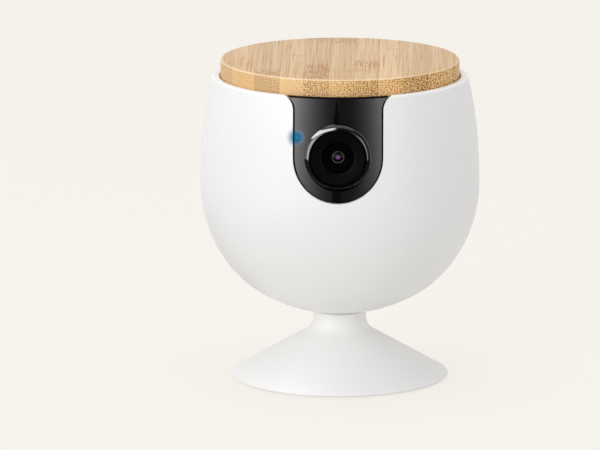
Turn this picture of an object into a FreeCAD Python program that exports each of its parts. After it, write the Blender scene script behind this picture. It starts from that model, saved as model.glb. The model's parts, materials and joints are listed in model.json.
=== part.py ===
import FreeCAD, Part
import math
import os
import re
import Sketcher
from FreeCAD import Placement, Rotation, Vector

# Pet camera: a bowl-shaped head with a bamboo lid turns on a low conical base.
# Millimetres. The origin is the centre of the base's underside, +Z is up and the lens looks along -Y.

SIZES = [
    # Outer skin of the bowl: five tangent arcs, angles measured down from the widest ring
    ("bowl_radius", 49.0, "radius at the widest ring"),
    ("equator_height", 69.3, "height of the widest ring"),
    ("shoulder_radius", 211.3, "arc just above the widest ring"),
    ("shoulder_angle", 4.6, "where the shoulder arc meets the rim arc"),
    ("rim_arc_radius", 130.3, "arc up to the rim"),
    ("rim_height", 107.65, "top of the rim"),
    ("rim_round", 1.0, "rounding of the rim's outer edge"),
    ("flank_radius", 46.8, "arc just below the widest ring"),
    ("flank_angle", 38.0, "where the flank meets the heel arc"),
    ("heel_radius", 39.8, "arc that turns the flank under"),
    ("heel_angle", 61.4, "where the heel meets the bottom arc"),
    ("bottom_flat_radius", 9.6, "flat ring that faces the neck"),
    ("wall", 2.4, "wall of the bowl"),
    ("hub_radius", 10.6, "moulded hub that holds the bush"),
    ("hub_rise", 4.9, "top of the hub above the flat ring"),
    # Lid
    ("lid_radius", 41.85, "bamboo disc"),
    ("lid_height", 5.85, "disc above the rim"),
    ("lid_depth", 2.2, "disc below the rim"),
    ("lid_chamfer", 0.5, "broken top edge"),
    ("lid_gap", 0.45, "gap between disc and rim"),
    ("carrier_thickness", 1.9, "plate bonded under the disc"),
    ("ledge_width", 3.6, "ledge that carries the plate"),
    ("ledge_thickness", 2.0, "ledge that carries the plate"),
    # Notch and glossy front panel
    ("notch_width", 31.2, "between the straight sides"),
    ("notch_centre_height", 86.7, "centre of the rounded end"),
    ("notch_corner", 5.0, "flared corners at the rim"),
    ("notch_overrun", 0.4, "how far the flare runs out above the rim"),
    ("panel_gap", 0.4, "shadow gap round the panel"),
    ("panel_recess", 1.0, "panel face below the bowl's skin"),
    ("flange_thickness", 1.2, "flange behind the bowl's wall"),
    ("flange_width", 2.2, "flange beyond the notch"),
    ("flange_gap", 0.5, "flange behind the wall"),
    # Lens, along its own axis from the bezel's front face
    ("lens_height", 87.0, "centre of the lens"),
    ("lens_tilt", 1.5, "degrees that the lens looks down"),
    ("lens_proud", 1.2, "bezel face beyond the panel's face"),
    ("bezel_radius", 11.6, "outer radius"),
    ("bezel_round", 1.35, "rounded front edge"),
    ("bezel_lip", 0.15, "flat of the front edge"),
    ("bezel_depth", 9.4, "length along the axis"),
    ("hood_gap", 0.15, "hood inside the bezel"),
    ("hood_recess", 0.6, "hood face behind the bezel's face"),
    ("hood_groove_radius", 9.45, "ring groove in the hood's face"),
    ("hood_groove_width", 0.5, "ring groove in the hood's face"),
    ("hood_groove_depth", 0.5, "ring groove in the hood's face"),
    ("well_radius", 5.4, "opening in the hood"),
    ("well_depth", 1.4, "barrel face behind the hood's face"),
    ("barrel_radius", 6.0, "threaded part of the barrel"),
    ("barrel_length", 15.0, "overall"),
    ("glass_radius", 2.15, "front lens"),
    ("glass_bulge", 0.55, "rise of its curved face"),
    ("holder_length", 8.8, "lens holder ahead of the sensor board"),
    ("sensor_board_side", 26.0, "square board"),
    ("board_thickness", 1.2, "all circuit boards"),
    # Status light
    ("light_height", 93.7, "centre of the light pipe"),
    ("light_offset", 14.1, "light pipe to the left of the lens"),
    ("light_radius", 0.85, "light pipe"),
    ("light_gap", 0.15, "clearance round the light pipe"),
    # Sound outlet at the rear
    ("speaker_height", 70.0, "centre of the speaker"),
    ("speaker_radius", 14.3, "frame of the speaker"),
    ("speaker_depth", 9.0, "frame and magnet"),
    ("slot_width", 1.5, "sound slot"),
    ("slot_pitch", 3.1, "between sound slots"),
    ("slot_circle", 10.0, "circle that the slots fill"),
    # Pan bearing and drive, heights above the bowl's flat ring
    ("seam_gap", 0.45, "between neck and bowl"),
    ("running_gap", 0.05, "radial and axial clearance of the bearing"),
    ("fit_gap", 0.05, "clearance of pieces pushed together"),
    ("post_radius", 6.0, "hollow pivot post"),
    ("post_bore_radius", 3.6, "cable way in the post"),
    ("bush_wall", 1.5, "plain bush"),
    ("bush_flange", 1.5, "flange on top of the hub"),
    ("washer_thickness", 1.4, "thrust washer"),
    ("gear_module", 0.7, "tooth size"),
    ("gear_teeth", 48, "fixed gear"),
    ("pinion_teeth", 16, "motor pinion"),
    ("gear_backlash", 0.12, "total play at the pitch line"),
    ("gear_rise", 12.0, "underside of the teeth"),
    ("gear_width", 4.0, "width of the teeth"),
    ("deck_rise", 18.8, "underside of the inner frame"),
    ("deck_thickness", 2.0, "inner frame's deck"),
    ("deck_radius", 34.0, "inner frame's deck"),
    ("rib_thickness", 2.0, "ribs in the bowl that carry the deck"),
    ("rib_inner_radius", 25.0, "inner end of those ribs"),
    ("screw_radius", 1.25, "bottom plate screws"),
    ("stop_radius", 12.0, "middle of the stop lugs"),
    ("stop_width", 1.5, "stop lug"),
    ("stop_length", 3.0, "stop lug, radially"),
    ("motor_radius", 10.0, "geared stepper motor"),
    ("motor_height", 15.0, "geared stepper motor"),
    ("shaft_radius", 1.5, "motor shaft"),
    # Boards in the head
    ("upright_spacing", 52.0, "between the inner frame's uprights"),
    ("upright_width", 5.0, "across"),
    ("upright_depth", 4.0, "front to back"),
    ("upright_height", 46.0, "above the deck"),
    ("main_board_width", 66.0, "main board"),
    ("main_board_height", 34.0, "main board"),
    ("main_board_front", 4.0, "its front face ahead of the axis"),
    # Base
    ("base_radius", 38.2, "outer radius of the foot of the cone"),
    ("base_edge", 0.6, "height of the cover's lower edge"),
    ("cone_foot", 1.2, "where the cone starts"),
    ("cone_slope", 30.0, "degrees"),
    ("neck_radius", 9.3, "outer radius of the neck"),
    ("neck_blend", 6.0, "hollow between cone and neck"),
    ("base_wall", 2.2, "wall of the base cover"),
    ("plate_radius", "=base_radius - 4.2", "bottom plate"),
    ("plate_thickness", 1.6, "bottom plate"),
    ("foot_radius", "=base_radius - 7.2", "middle of the rubber foot ring"),
    ("foot_width", 4.0, "rubber foot ring"),
    ("post_flange_radius", 13.0, "foot of the pivot post"),
    ("post_flange_height", 8.6, "underside of that foot"),
    ("post_flange_thickness", 2.0, "foot of the pivot post"),
    ("base_screw_circle", "=base_radius - 15.2", "three screws in the bottom plate"),
    # Cable inlet and reset button in the rear of the base
    ("inlet_face", "=base_radius - 14.2", "flat face at the bottom of the recess, behind the axis"),
    ("inlet_floor", 3.0, "floor of the recess"),
    ("inlet_width", 23.0, "recess"),
    ("socket_height", 6.0, "centre of the socket"),
    ("socket_offset", -4.0, "socket to the side of the axis"),
    ("socket_width", 8.9, "outside of the socket"),
    ("socket_thickness", 3.3, "outside of the socket"),
    ("socket_depth", 7.4, "outside of the socket"),
    ("socket_wall", 0.3, "sheet of the socket"),
    ("button_offset", 6.0, "button to the other side"),
    ("button_height", 6.5, "centre of the button"),
    ("button_radius", 1.5, "reset button"),
    ("button_length", 4.6, "reset button"),
    ("button_travel", 0.4, "reset button"),
    ("lead_radius", 1.6, "power lead inside the post"),
]

doc = FreeCAD.newDocument("pet_camera")
sizes = doc.addObject("Spreadsheet::Sheet", "Sizes")
for row, (alias, number, note) in enumerate(SIZES, start=1):
    sizes.set(f"A{row}", alias)
    sizes.set(f"B{row}", str(number))
    sizes.setAlias(f"B{row}", alias)
    sizes.set(f"C{row}", note)
doc.recompute()

NAMES = {alias for alias, number, note in SIZES}
PIECES = []


def formula(text):
    """Point each size name in an expression at its cell."""
    def cell(word):
        return "Sizes." + word[0] if word[0] in NAMES else word[0]
    return re.sub(r"[a-z][a-z_0-9]+", cell, str(text))


def value(text):
    """Work an expression out from the sheet."""
    return float(sizes.evalExpression(formula(text)))


def bind(thing, **links):
    """Bind properties to expressions; a double underscore in a name stands for a dot."""
    for path, text in links.items():
        thing.setExpression(path.replace("__", "."), formula(text))


def place(thing, x="0", y="0", z="0"):
    bind(thing, Placement__Base__x=x, Placement__Base__y=y, Placement__Base__z=z)
    return thing


def keep(thing, label):
    """Name a finished piece and list it for export."""
    thing.Label = label
    PIECES.append(thing)
    return thing


def bent_edge(start, end, radius, side):
    """Arc of less than half a turn; side 1 has its centre on the left of the way from start to end."""
    chord = end - start
    left = Vector(-chord.y, chord.x, 0).normalize()
    rise = math.sqrt(max(radius ** 2 - (chord.Length / 2) ** 2, 0.0))
    centre = start + chord * 0.5 + left * (rise * side)
    first, last = (start, end) if side > 0 else (end, start)
    angles = [math.atan2(point.y - centre.y, point.x - centre.x) for point in (first, last)]
    return Part.ArcOfCircle(Part.Circle(centre, Vector(0, 0, 1), radius), *angles)


def outline(body, plane, corners, lift="0"):
    """Closed sketch. A corner is (x, y), or (x, y, radius, side) where the edge after it is an arc."""
    sketch = body.newObject("Sketcher::SketchObject", body.Name + "_outline")
    flat = [feature for feature in body.Origin.OriginFeatures if feature.Role == plane][0]
    sketch.AttachmentSupport = [(flat, "")]
    sketch.MapMode = "FlatFace"
    bind(sketch, AttachmentOffset__Base__z=lift)
    points = [Vector(value(corner[0]), value(corner[1]), 0) for corner in corners]
    starts, ends = [], []
    for index, corner in enumerate(corners):
        here, there = points[index], points[(index + 1) % len(points)]
        if len(corner) == 2:
            edge = sketch.addGeometry(Part.LineSegment(here, there))
            forward = True
        else:
            forward = corner[3] > 0
            edge = sketch.addGeometry(bent_edge(here, there, value(corner[2]), corner[3]))
            number = sketch.addConstraint(Sketcher.Constraint("Radius", edge, value(corner[2])))
            sketch.setExpression(f"Constraints[{number}]", formula(corner[2]))
        starts.append((edge, 1 if forward else 2))
        ends.append((edge, 2 if forward else 1))
    for index, corner in enumerate(corners):
        sketch.addConstraint(Sketcher.Constraint("Coincident", *ends[index - 1], *starts[index]))
        for kind, text in zip(("DistanceX", "DistanceY"), corner):
            rule = Sketcher.Constraint(kind, -1, 1, *starts[index], value(text))
            sketch.setExpression(f"Constraints[{sketch.addConstraint(rule)}]", formula(text))
    return sketch


def turned(name, corners):
    """Body turned about its own Z axis from an outline of (radius, height) corners."""
    body = doc.addObject("PartDesign::Body", name)
    sketch = outline(body, "XZ_Plane", corners)
    turn = body.newObject("PartDesign::Revolution", name + "_turn")
    turn.Profile = sketch
    turn.ReferenceAxis = (sketch, ["V_Axis"])
    turn.Angle = 360
    return body


def prism(name, plane, corners, start, length):
    """Body padded from an outline; on XZ_Plane the pad runs forward, towards -Y."""
    body = doc.addObject("PartDesign::Body", name)
    pad = body.newObject("PartDesign::Pad", name + "_pad")
    pad.Profile = outline(body, plane, corners, start)
    bind(pad, Length=length)
    return body


def block(name, across, along, up):
    """Box between pairs of expressions for X, Y and Z."""
    box = doc.addObject("Part::Box", name)
    spans = [f"({high}) - ({low})" for low, high in (across, along, up)]
    bind(box, Length=spans[0], Width=spans[1], Height=spans[2])
    return place(box, across[0], along[0], up[0])


def rod(name, radius, x, y, z, length, lean=0):
    """Cylinder from a point; lean turns it about X, so 90 points it forward and -90 to the rear."""
    bar = doc.addObject("Part::Cylinder", name)
    bar.Placement = Placement(Vector(), Rotation(Vector(1, 0, 0), lean))
    bind(bar, Radius=radius, Height=length)
    return place(bar, x, y, z)


def many_sided(name, sides, radius, x, y, z, length):
    """Upright bar with flat sides."""
    bar = doc.addObject("Part::Prism", name)
    bar.Polygon = sides
    bind(bar, Circumradius=radius, Height=length)
    return place(bar, x, y, z)


def turned_place(thing, angle, out, aside, z):
    """Turn a piece about the Z axis of the model, with its corner at a distance out and aside."""
    turn = math.radians(angle)
    cosine, sine = round(math.cos(turn), 9), round(math.sin(turn), 9)
    thing.Placement = Placement(Vector(), Rotation(Vector(0, 0, 1), angle))
    across = f"({out}) * {cosine} - ({aside}) * {sine}"
    return place(thing, across, f"({out}) * {sine} + ({aside}) * {cosine}", z)


def combine(kind, name, first, second):
    joined = doc.addObject(kind, name)
    joined.Base, joined.Tool = first, second
    return joined


def fuse(name, pieces):
    """Join several solids into one."""
    joined = doc.addObject("Part::MultiFuse", name)
    joined.Shapes = pieces
    joined.Refine = True
    return joined


def cut(name, solid, tools):
    tool = tools[0] if len(tools) == 1 else fuse(name + "_tools", tools)
    return combine("Part::Cut", name, solid, tool)


def common(name, first, second):
    return combine("Part::Common", name, first, second)


def group(name, pieces):
    """Several separate solids in one piece."""
    bundle = doc.addObject("Part::Compound", name)
    bundle.Links = pieces
    return bundle


def around(count, first=0.0):
    """Cosine and sine of evenly spaced angles."""
    turns = [math.radians(first + 360.0 * index / count) for index in range(count)]
    return [(round(math.cos(turn), 9), round(math.sin(turn), 9)) for turn in turns]


# Skin of the bowl, and the same skin moved inwards by a wall or a recess
SHOULDER_X = "(bowl_radius - shoulder_radius)"
RIM_ARC_X = f"({SHOULDER_X} + (shoulder_radius - rim_arc_radius) * cos(shoulder_angle))"
RIM_ARC_Z = "(equator_height + (shoulder_radius - rim_arc_radius) * sin(shoulder_angle))"
FLANK_X = "(bowl_radius - flank_radius)"
HEEL_X = f"({FLANK_X} + (flank_radius - heel_radius) * cos(flank_angle))"
HEEL_Z = "(equator_height - (flank_radius - heel_radius) * sin(flank_angle))"
BOTTOM_RADIUS = f"({HEEL_X} / cos(heel_angle) + heel_radius)"
BOTTOM_Z = f"({HEEL_Z} + {HEEL_X} * tan(heel_angle))"
BOWL_BOTTOM = f"({BOTTOM_Z} - sqrt({BOTTOM_RADIUS} ^ 2 - bottom_flat_radius ^ 2))"


def rim_point(inset, height):
    return (f"{RIM_ARC_X} + sqrt((rim_arc_radius - ({inset})) ^ 2 - ({height} - {RIM_ARC_Z}) ^ 2)", height)


def shoulder_point(inset, angle):
    reach = f"(shoulder_radius - ({inset}))"
    return (f"{SHOULDER_X} + {reach} * cos({angle})", f"equator_height + {reach} * sin({angle})")


def flank_point(inset, angle):
    reach = f"(flank_radius - ({inset}))"
    return (f"{FLANK_X} + {reach} * cos({angle})", f"equator_height - {reach} * sin({angle})")


def bottom_point(inset, angle):
    reach = f"({BOTTOM_RADIUS} - ({inset}))"
    return (f"{reach} * cos({angle})", f"{BOTTOM_Z} - {reach} * sin({angle})")


def notch_corners(inset, top):
    """U-shaped outline in the front view, with flared corners; inset makes it smaller all round."""
    half = f"(notch_width / 2 - ({inset}))"
    flare = f"(notch_corner + ({inset}))"
    flare_z = "(rim_height + notch_overrun - notch_corner)"
    return [
        (f"{half} + {flare}", top),
        (f"-{half} - {flare}", top),
        (f"-{half} - {flare}", f"{flare_z} + {flare}", flare, -1),
        (f"-{half}", flare_z),
        (f"-{half}", "notch_centre_height", half, 1),
        ("0", f"notch_centre_height - {half}", half, 1),
        (half, "notch_centre_height"),
        (half, flare_z, flare, -1),
        (f"{half} + {flare}", f"{flare_z} + {flare}"),
    ]


def light_pipe_bar(name, radius):
    return rod(name, radius, "-light_offset", "0", "light_height", "bowl_radius", 90)


# Head shell: one moulding with a hub, a lid ledge, ribs for the deck, a speaker collar and sound slots
DECK = f"({BOWL_BOTTOM} + deck_rise)"
CARRIER_BOTTOM = "(rim_height - lid_depth - carrier_thickness)"
LEDGE_BOTTOM = f"({CARRIER_BOTTOM} - ledge_thickness)"
BUSH_OUTER = "(post_radius + running_gap + bush_wall)"
HUB_TOP = f"({BOWL_BOTTOM} + hub_rise)"
LAST_FLOOR_ANGLE = "77"

shell_solid = turned("shell_solid", [
    ("0", BOWL_BOTTOM),
    ("bottom_flat_radius", BOWL_BOTTOM, BOTTOM_RADIUS, 1),
    bottom_point("0", "heel_angle") + ("heel_radius", 1),
    flank_point("0", "flank_angle") + ("flank_radius", 1),
    ("bowl_radius", "equator_height", "shoulder_radius", 1),
    shoulder_point("0", "shoulder_angle") + ("rim_arc_radius", 1),
    rim_point("0", "rim_height - rim_round"),
    (rim_point("0", "rim_height - rim_round")[0] + " - rim_round * 0.3", "rim_height - rim_round * 0.3"),
    (rim_point("0", "rim_height - rim_round")[0] + " - rim_round", "rim_height"),
    ("0", "rim_height"),
])
cavity = turned("cavity", [
    (BUSH_OUTER, f"{BOWL_BOTTOM} - 1"),
    (BUSH_OUTER, HUB_TOP),
    ("hub_radius", HUB_TOP),
    ("hub_radius", bottom_point("wall", LAST_FLOOR_ANGLE)[1]),
    bottom_point("wall", LAST_FLOOR_ANGLE),
    bottom_point("wall", "heel_angle"),
    flank_point("wall", "flank_angle"),
    flank_point("wall", "flank_angle / 2"),
    ("bowl_radius - wall", "equator_height"),
    rim_point("wall", LEDGE_BOTTOM),
    ("lid_radius + lid_gap - ledge_width", LEDGE_BOTTOM),
    ("lid_radius + lid_gap - ledge_width", CARRIER_BOTTOM),
    ("lid_radius + lid_gap", CARRIER_BOTTOM),
    ("lid_radius + lid_gap", "rim_height + 1"),
    ("0", "rim_height + 1"),
    ("0", f"{BOWL_BOTTOM} - 1"),
])
SPEAKER_FRONT = "(bowl_radius - wall - 4.2)"
collar = cut("collar",
             rod("collar_outer", "speaker_radius + 2", "0", f"{SPEAKER_FRONT} - 3.2", "speaker_height", "20",
                 -90),
             [rod("collar_bore", "speaker_radius + fit_gap", "0", "0", "speaker_height", "bowl_radius", -90)])
ribs = []
for number in range(4):
    rib = block(f"rib_{number}", ("rib_inner_radius", "bowl_radius"),
                ("0 - rib_thickness / 2", "rib_thickness / 2"), (BOWL_BOTTOM, DECK))
    ribs.append(turned_place(rib, 45 + 90 * number, "rib_inner_radius", "0 - rib_thickness / 2", BOWL_BOTTOM))
hollow = cut("hollow", cavity, ribs + [collar])
notch = prism("notch", "XZ_Plane", notch_corners("0", "rim_height + 3"), "0", "bowl_radius + 5")
slots = []
for step in range(-3, 4):
    x = f"{step} * slot_pitch"
    reach = f"sqrt(slot_circle ^ 2 - ({x}) ^ 2)"
    slots.append(block(f"slot_{step + 3}", (f"{x} - slot_width / 2", f"{x} + slot_width / 2"),
                       ("bowl_radius - 8", "bowl_radius + 2"),
                       (f"speaker_height - {reach}", f"speaker_height + {reach}")))
keep(cut("head_shell", shell_solid, [hollow, notch] + slots), "head_shell")

# Lid: bamboo disc bonded to a plate that rests on the ledge
keep(turned("bamboo_lid", [
    ("0", "rim_height - lid_depth"),
    ("lid_radius", "rim_height - lid_depth"),
    ("lid_radius", "rim_height + lid_height - lid_chamfer"),
    ("lid_radius - lid_chamfer", "rim_height + lid_height"),
    ("0", "rim_height + lid_height"),
]), "bamboo_lid")
keep(turned("lid_carrier", [
    ("lid_radius * 0.4", CARRIER_BOTTOM),
    ("lid_radius", CARRIER_BOTTOM),
    ("lid_radius", "rim_height - lid_depth"),
    ("lid_radius * 0.4", "rim_height - lid_depth"),
]), "lid_carrier")

# Front panel: a glossy tongue in the notch with a flange behind the wall, and a round hole for the bezel
LENS_AXIS_Y = f"(0 - ({rim_point('panel_recess', 'lens_height')[0]} + lens_proud))"


def on_lens_axis(thing):
    """Put a piece that was made along Z on the lens axis, with Z looking out."""
    thing.Placement = Placement(Vector(), Rotation(Vector(1, 0, 0), 90))
    bind(thing, Placement__Rotation__Angle="90 + lens_tilt")
    return place(thing, "0", LENS_AXIS_Y, "lens_height")


WALL_TOP_X = rim_point("wall", LEDGE_BOTTOM)[0]
PANEL_LOW = "(notch_centre_height - notch_width / 2 - flange_width - 1)"
PANEL_TOP = "(rim_height - 0.2)"
BEHIND_WALL = "(flange_gap + flange_thickness)"
tongue_outline = notch_corners("panel_gap", "rim_height + 3")
tongue = common("tongue", turned("tongue_skin", [
    ("bowl_radius - panel_recess", PANEL_LOW),
    ("bowl_radius - panel_recess", "equator_height", "shoulder_radius - panel_recess", 1),
    shoulder_point("panel_recess", "shoulder_angle") + ("rim_arc_radius - panel_recess", 1),
    rim_point("panel_recess", PANEL_TOP),
    ("lid_radius + 0.3", PANEL_TOP),
    ("lid_radius + 0.3", f"{LEDGE_BOTTOM} - 0.3"),
    (f"bowl_radius - wall - {BEHIND_WALL}", "equator_height"),
    (f"bowl_radius - wall - {BEHIND_WALL}", PANEL_LOW),
]), prism("tongue_front", "XZ_Plane", tongue_outline, "0", "bowl_radius"))
flange_outline = notch_corners("0 - flange_width", "rim_height + 3")
flange = common("flange", turned("flange_skin", [
    ("bowl_radius - wall - flange_gap", PANEL_LOW),
    ("bowl_radius - wall - flange_gap", "equator_height"),
    (f"{WALL_TOP_X} - flange_gap", f"{LEDGE_BOTTOM} - 0.3"),
    (f"{WALL_TOP_X} - {BEHIND_WALL}", f"{LEDGE_BOTTOM} - 0.3"),
    (f"bowl_radius - wall - {BEHIND_WALL}", "equator_height"),
    (f"bowl_radius - wall - {BEHIND_WALL}", PANEL_LOW),
]), prism("flange_front", "XZ_Plane", flange_outline, "0", "bowl_radius"))
bezel_hole = on_lens_axis(doc.addObject("Part::Cylinder", "bezel_hole"))
bind(bezel_hole, Radius="bezel_radius + fit_gap", Height="12 + bowl_radius")
bind(bezel_hole, Placement__Base__y=f"{LENS_AXIS_Y} + 12 * cos(lens_tilt)",
     Placement__Base__z="lens_height + 12 * sin(lens_tilt)")
panel_light_hole = light_pipe_bar("panel_light_hole", "light_radius + light_gap")
keep(cut("lens_panel", fuse("panel_solid", [tongue, flange]), [bezel_hole, panel_light_hole]), "lens_panel")

# Lens parts, turned about the lens axis; height 0 is the bezel's front face
BEZEL_INNER = "(bezel_radius - bezel_round - bezel_lip)"
HOOD_OUTER = f"({BEZEL_INNER} - hood_gap)"
keep(on_lens_axis(turned("lens_bezel", [
    (BEZEL_INNER, "0 - bezel_depth"),
    ("bezel_radius", "0 - bezel_depth"),
    ("bezel_radius", "0 - bezel_round"),
    ("bezel_radius - bezel_round * 0.3", "0 - bezel_round * 0.3"),
    ("bezel_radius - bezel_round", "0"),
    (BEZEL_INNER, "0"),
])), "lens_bezel")
groove_in = "(hood_groove_radius - hood_groove_width / 2)"
groove_out = "(hood_groove_radius + hood_groove_width / 2)"
keep(on_lens_axis(turned("lens_hood", [
    ("well_radius", "0 - bezel_depth"),
    (HOOD_OUTER, "0 - bezel_depth"),
    (HOOD_OUTER, "0 - hood_recess"),
    (groove_out, "0 - hood_recess"),
    (groove_out, "0 - hood_recess - hood_groove_depth"),
    (groove_in, "0 - hood_recess - hood_groove_depth"),
    (groove_in, "0 - hood_recess"),
    ("well_radius + 0.5", "0 - hood_recess - 0.3"),
    ("well_radius", "0 - hood_recess - 0.8"),
])), "lens_hood")
BARREL_FACE = "(0 - hood_recess - well_depth)"
keep(on_lens_axis(turned("lens_barrel", [
    ("0", f"{BARREL_FACE} - barrel_length"),
    ("barrel_radius", f"{BARREL_FACE} - barrel_length"),
    ("barrel_radius", "0 - bezel_depth - 0.3"),
    ("well_radius - fit_gap", "0 - bezel_depth - 0.3"),
    ("well_radius - fit_gap", BARREL_FACE),
    ("glass_radius + 1.6", BARREL_FACE),
    ("glass_radius + 1.2", f"{BARREL_FACE} - 0.6"),
    ("glass_radius + fit_gap", f"{BARREL_FACE} - 0.6"),
    ("glass_radius + fit_gap", f"{BARREL_FACE} - 3.4"),
    ("0", f"{BARREL_FACE} - 3.4"),
])), "lens_barrel")
keep(on_lens_axis(turned("front_lens", [
    ("0", f"{BARREL_FACE} - 3.35"),
    ("glass_radius", f"{BARREL_FACE} - 3.35"),
    ("glass_radius", f"{BARREL_FACE} - 1.2", "(glass_radius ^ 2 + glass_bulge ^ 2) / (2 * glass_bulge)", 1),
    ("0", f"{BARREL_FACE} - 1.2 + glass_bulge"),
])), "front_lens")
SENSOR_FACE = f"({BARREL_FACE} - barrel_length - 1.6)"
keep(on_lens_axis(turned("lens_holder", [
    ("barrel_radius + fit_gap", SENSOR_FACE),
    ("sensor_board_side / 2 - 1.5", SENSOR_FACE),
    ("sensor_board_side / 2 - 1.5", f"{SENSOR_FACE} + 1.6"),
    ("barrel_radius + 2", f"{SENSOR_FACE} + 3.2"),
    ("barrel_radius + 2", f"{SENSOR_FACE} + holder_length"),
    ("barrel_radius + fit_gap", f"{SENSOR_FACE} + holder_length"),
])), "lens_holder")


def lens_block(name, across, up, depth):
    """Box square to the lens axis between pairs of expressions."""
    corners = [(across[0], up[0]), (across[1], up[0]), (across[1], up[1]), (across[0], up[1])]
    return on_lens_axis(prism(name, "XY_Plane", corners, depth[0], f"({depth[1]}) - ({depth[0]})"))


HALF_SENSOR = "(sensor_board_side / 2)"
SENSOR_SPAN = (f"0 - {HALF_SENSOR}", HALF_SENSOR)
SENSOR_BACK = f"({SENSOR_FACE} - board_thickness)"
keep(lens_block("sensor_board", SENSOR_SPAN, SENSOR_SPAN, (SENSOR_BACK, SENSOR_FACE)), "sensor_board")
SENSOR_CHIP = (SENSOR_FACE, f"{SENSOR_FACE} + 1.1")
keep(lens_block("image_sensor", ("0 - 3.8", "3.8"), ("0 - 3.3", "3.3"), SENSOR_CHIP), "image_sensor")

# Night-vision lights and light sensor behind the top of the panel
LED_BOARD_Y = "(0 - (lid_radius - 4.45))"
LED_HEIGHT = f"({CARRIER_BOTTOM} - 2.35)"
keep(block("infrared_board", ("0 - 13", "13"), (LED_BOARD_Y, f"{LED_BOARD_Y} + board_thickness"),
           (f"{LED_HEIGHT} - 1.8", f"{LED_HEIGHT} + 1.8")), "infrared_board")
leds = [block(f"led_{number}", (f"{x} - 1.4", f"{x} + 1.4"), (f"{LED_BOARD_Y} - 1.2", LED_BOARD_Y),
              (f"{LED_HEIGHT} - 1.4", f"{LED_HEIGHT} + 1.4"))
        for number, x in enumerate((-11.2, -7.2, 7.2, 11.2))]
keep(group("infrared_leds", leds), "infrared_leds")
keep(block("light_sensor", ("0 - 1.2", "1.2"), (f"{LED_BOARD_Y} - 1.0", LED_BOARD_Y),
           (f"{LED_HEIGHT} - 1.0", f"{LED_HEIGHT} + 1.0")), "light_sensor")

# Status light: a clear pipe through the panel beside its edge, lit by its own small board
PIPE_BACK = "(lid_radius - 3.85)"
pipe_bar = rod("pipe_bar", "light_radius", "-light_offset", f"0 - {PIPE_BACK}", "light_height", "20", 90)
keep(common("status_light_pipe", pipe_bar,
            turned("pipe_trim", [
                ("0", "light_height - 3"),
                rim_point("panel_recess + 0.05", "light_height - 3"),
                rim_point("panel_recess + 0.05", "light_height + 3"),
                ("0", "light_height + 3"),
            ])), "status_light_pipe")
keep(block("status_light_board", ("-light_offset - 3", "-light_offset + 3"),
           (f"0 - {PIPE_BACK} + 0.3", f"0 - {PIPE_BACK} + 0.3 + board_thickness"),
           ("light_height - 4", "light_height + 4")), "status_light_board")

# Inner frame: a deck on the ribs, uprights for the main board and a tilted plate for the lens
DECK_TOP = f"({DECK} + deck_thickness)"
UPRIGHT_X = "(upright_spacing / 2)"
BOARD_BACK_Y = "(board_thickness - main_board_front)"
PINION_Y = "(gear_module * (gear_teeth + pinion_teeth) / 2)"
MOTOR_BOSS = "(shaft_radius + 2.5)"
UNDER_DECK = f"({DECK} - 1)"
deck = cut("deck", rod("deck_disc", "deck_radius", "0", "0", DECK, "deck_thickness"),
           [rod("deck_middle_hole", "post_radius + 2.6", "0", "0", UNDER_DECK, "deck_thickness + 2"),
            rod("deck_motor_hole", f"{MOTOR_BOSS} + 0.2", "0", PINION_Y, UNDER_DECK, "deck_thickness + 2")])
frame_parts = [deck, block("deck_stop", ("0 - stop_width / 2", "stop_width / 2"),
                           ("0 - stop_radius - stop_length / 2", "0 - stop_radius + stop_length / 2"),
                           (f"{DECK} - 2.1", f"{DECK} + 0.5"))]
PLATE_FRONT = f"({SENSOR_BACK} - 1.6)"
PLATE_BACK = f"({PLATE_FRONT} - 2)"
for side, sign in (("left", "0 - "), ("right", "")):
    middle = f"({sign}{UPRIGHT_X})"
    arm = f"({sign}({HALF_SENSOR} + 2))"
    upright_span = (f"{middle} - upright_width / 2", f"{middle} + upright_width / 2")
    frame_parts.append(block(f"upright_{side}", upright_span,
                             (BOARD_BACK_Y, f"{BOARD_BACK_Y} + upright_depth"),
                             (f"{DECK_TOP} - 0.5", f"{DECK_TOP} + upright_height")))
    frame_parts.append(block(f"arm_{side}", (f"{arm} - 1.25", f"{arm} + 1.25"),
                             (f"{LENS_AXIS_Y} - {PLATE_BACK} - 1.5", f"{BOARD_BACK_Y} + upright_depth"),
                             ("lens_height - 4", "lens_height + 4")))
    low, high = (middle, arm) if sign else (arm, middle)
    frame_parts.append(block(f"link_{side}", (low, high), (BOARD_BACK_Y, f"{BOARD_BACK_Y} + upright_depth"),
                             ("lens_height - 4", "lens_height + 4")))
    for level, shift in (("low", "0 - "), ("high", "")):
        post_x, post_y = f"({sign}({HALF_SENSOR} - 3))", f"({shift}({HALF_SENSOR} - 3))"
        frame_parts.append(lens_block(f"standoff_{side}_{level}", (f"{post_x} - 1.5", f"{post_x} + 1.5"),
                                      (f"{post_y} - 1.5", f"{post_y} + 1.5"),
                                      (f"{PLATE_FRONT} - 0.5", SENSOR_BACK)))
frame_parts.append(lens_block("lens_plate", (f"0 - {HALF_SENSOR} - 3.25", f"{HALF_SENSOR} + 3.25"),
                              SENSOR_SPAN, (PLATE_BACK, PLATE_FRONT)))
keep(fuse("inner_frame", frame_parts), "inner_frame")

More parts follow.
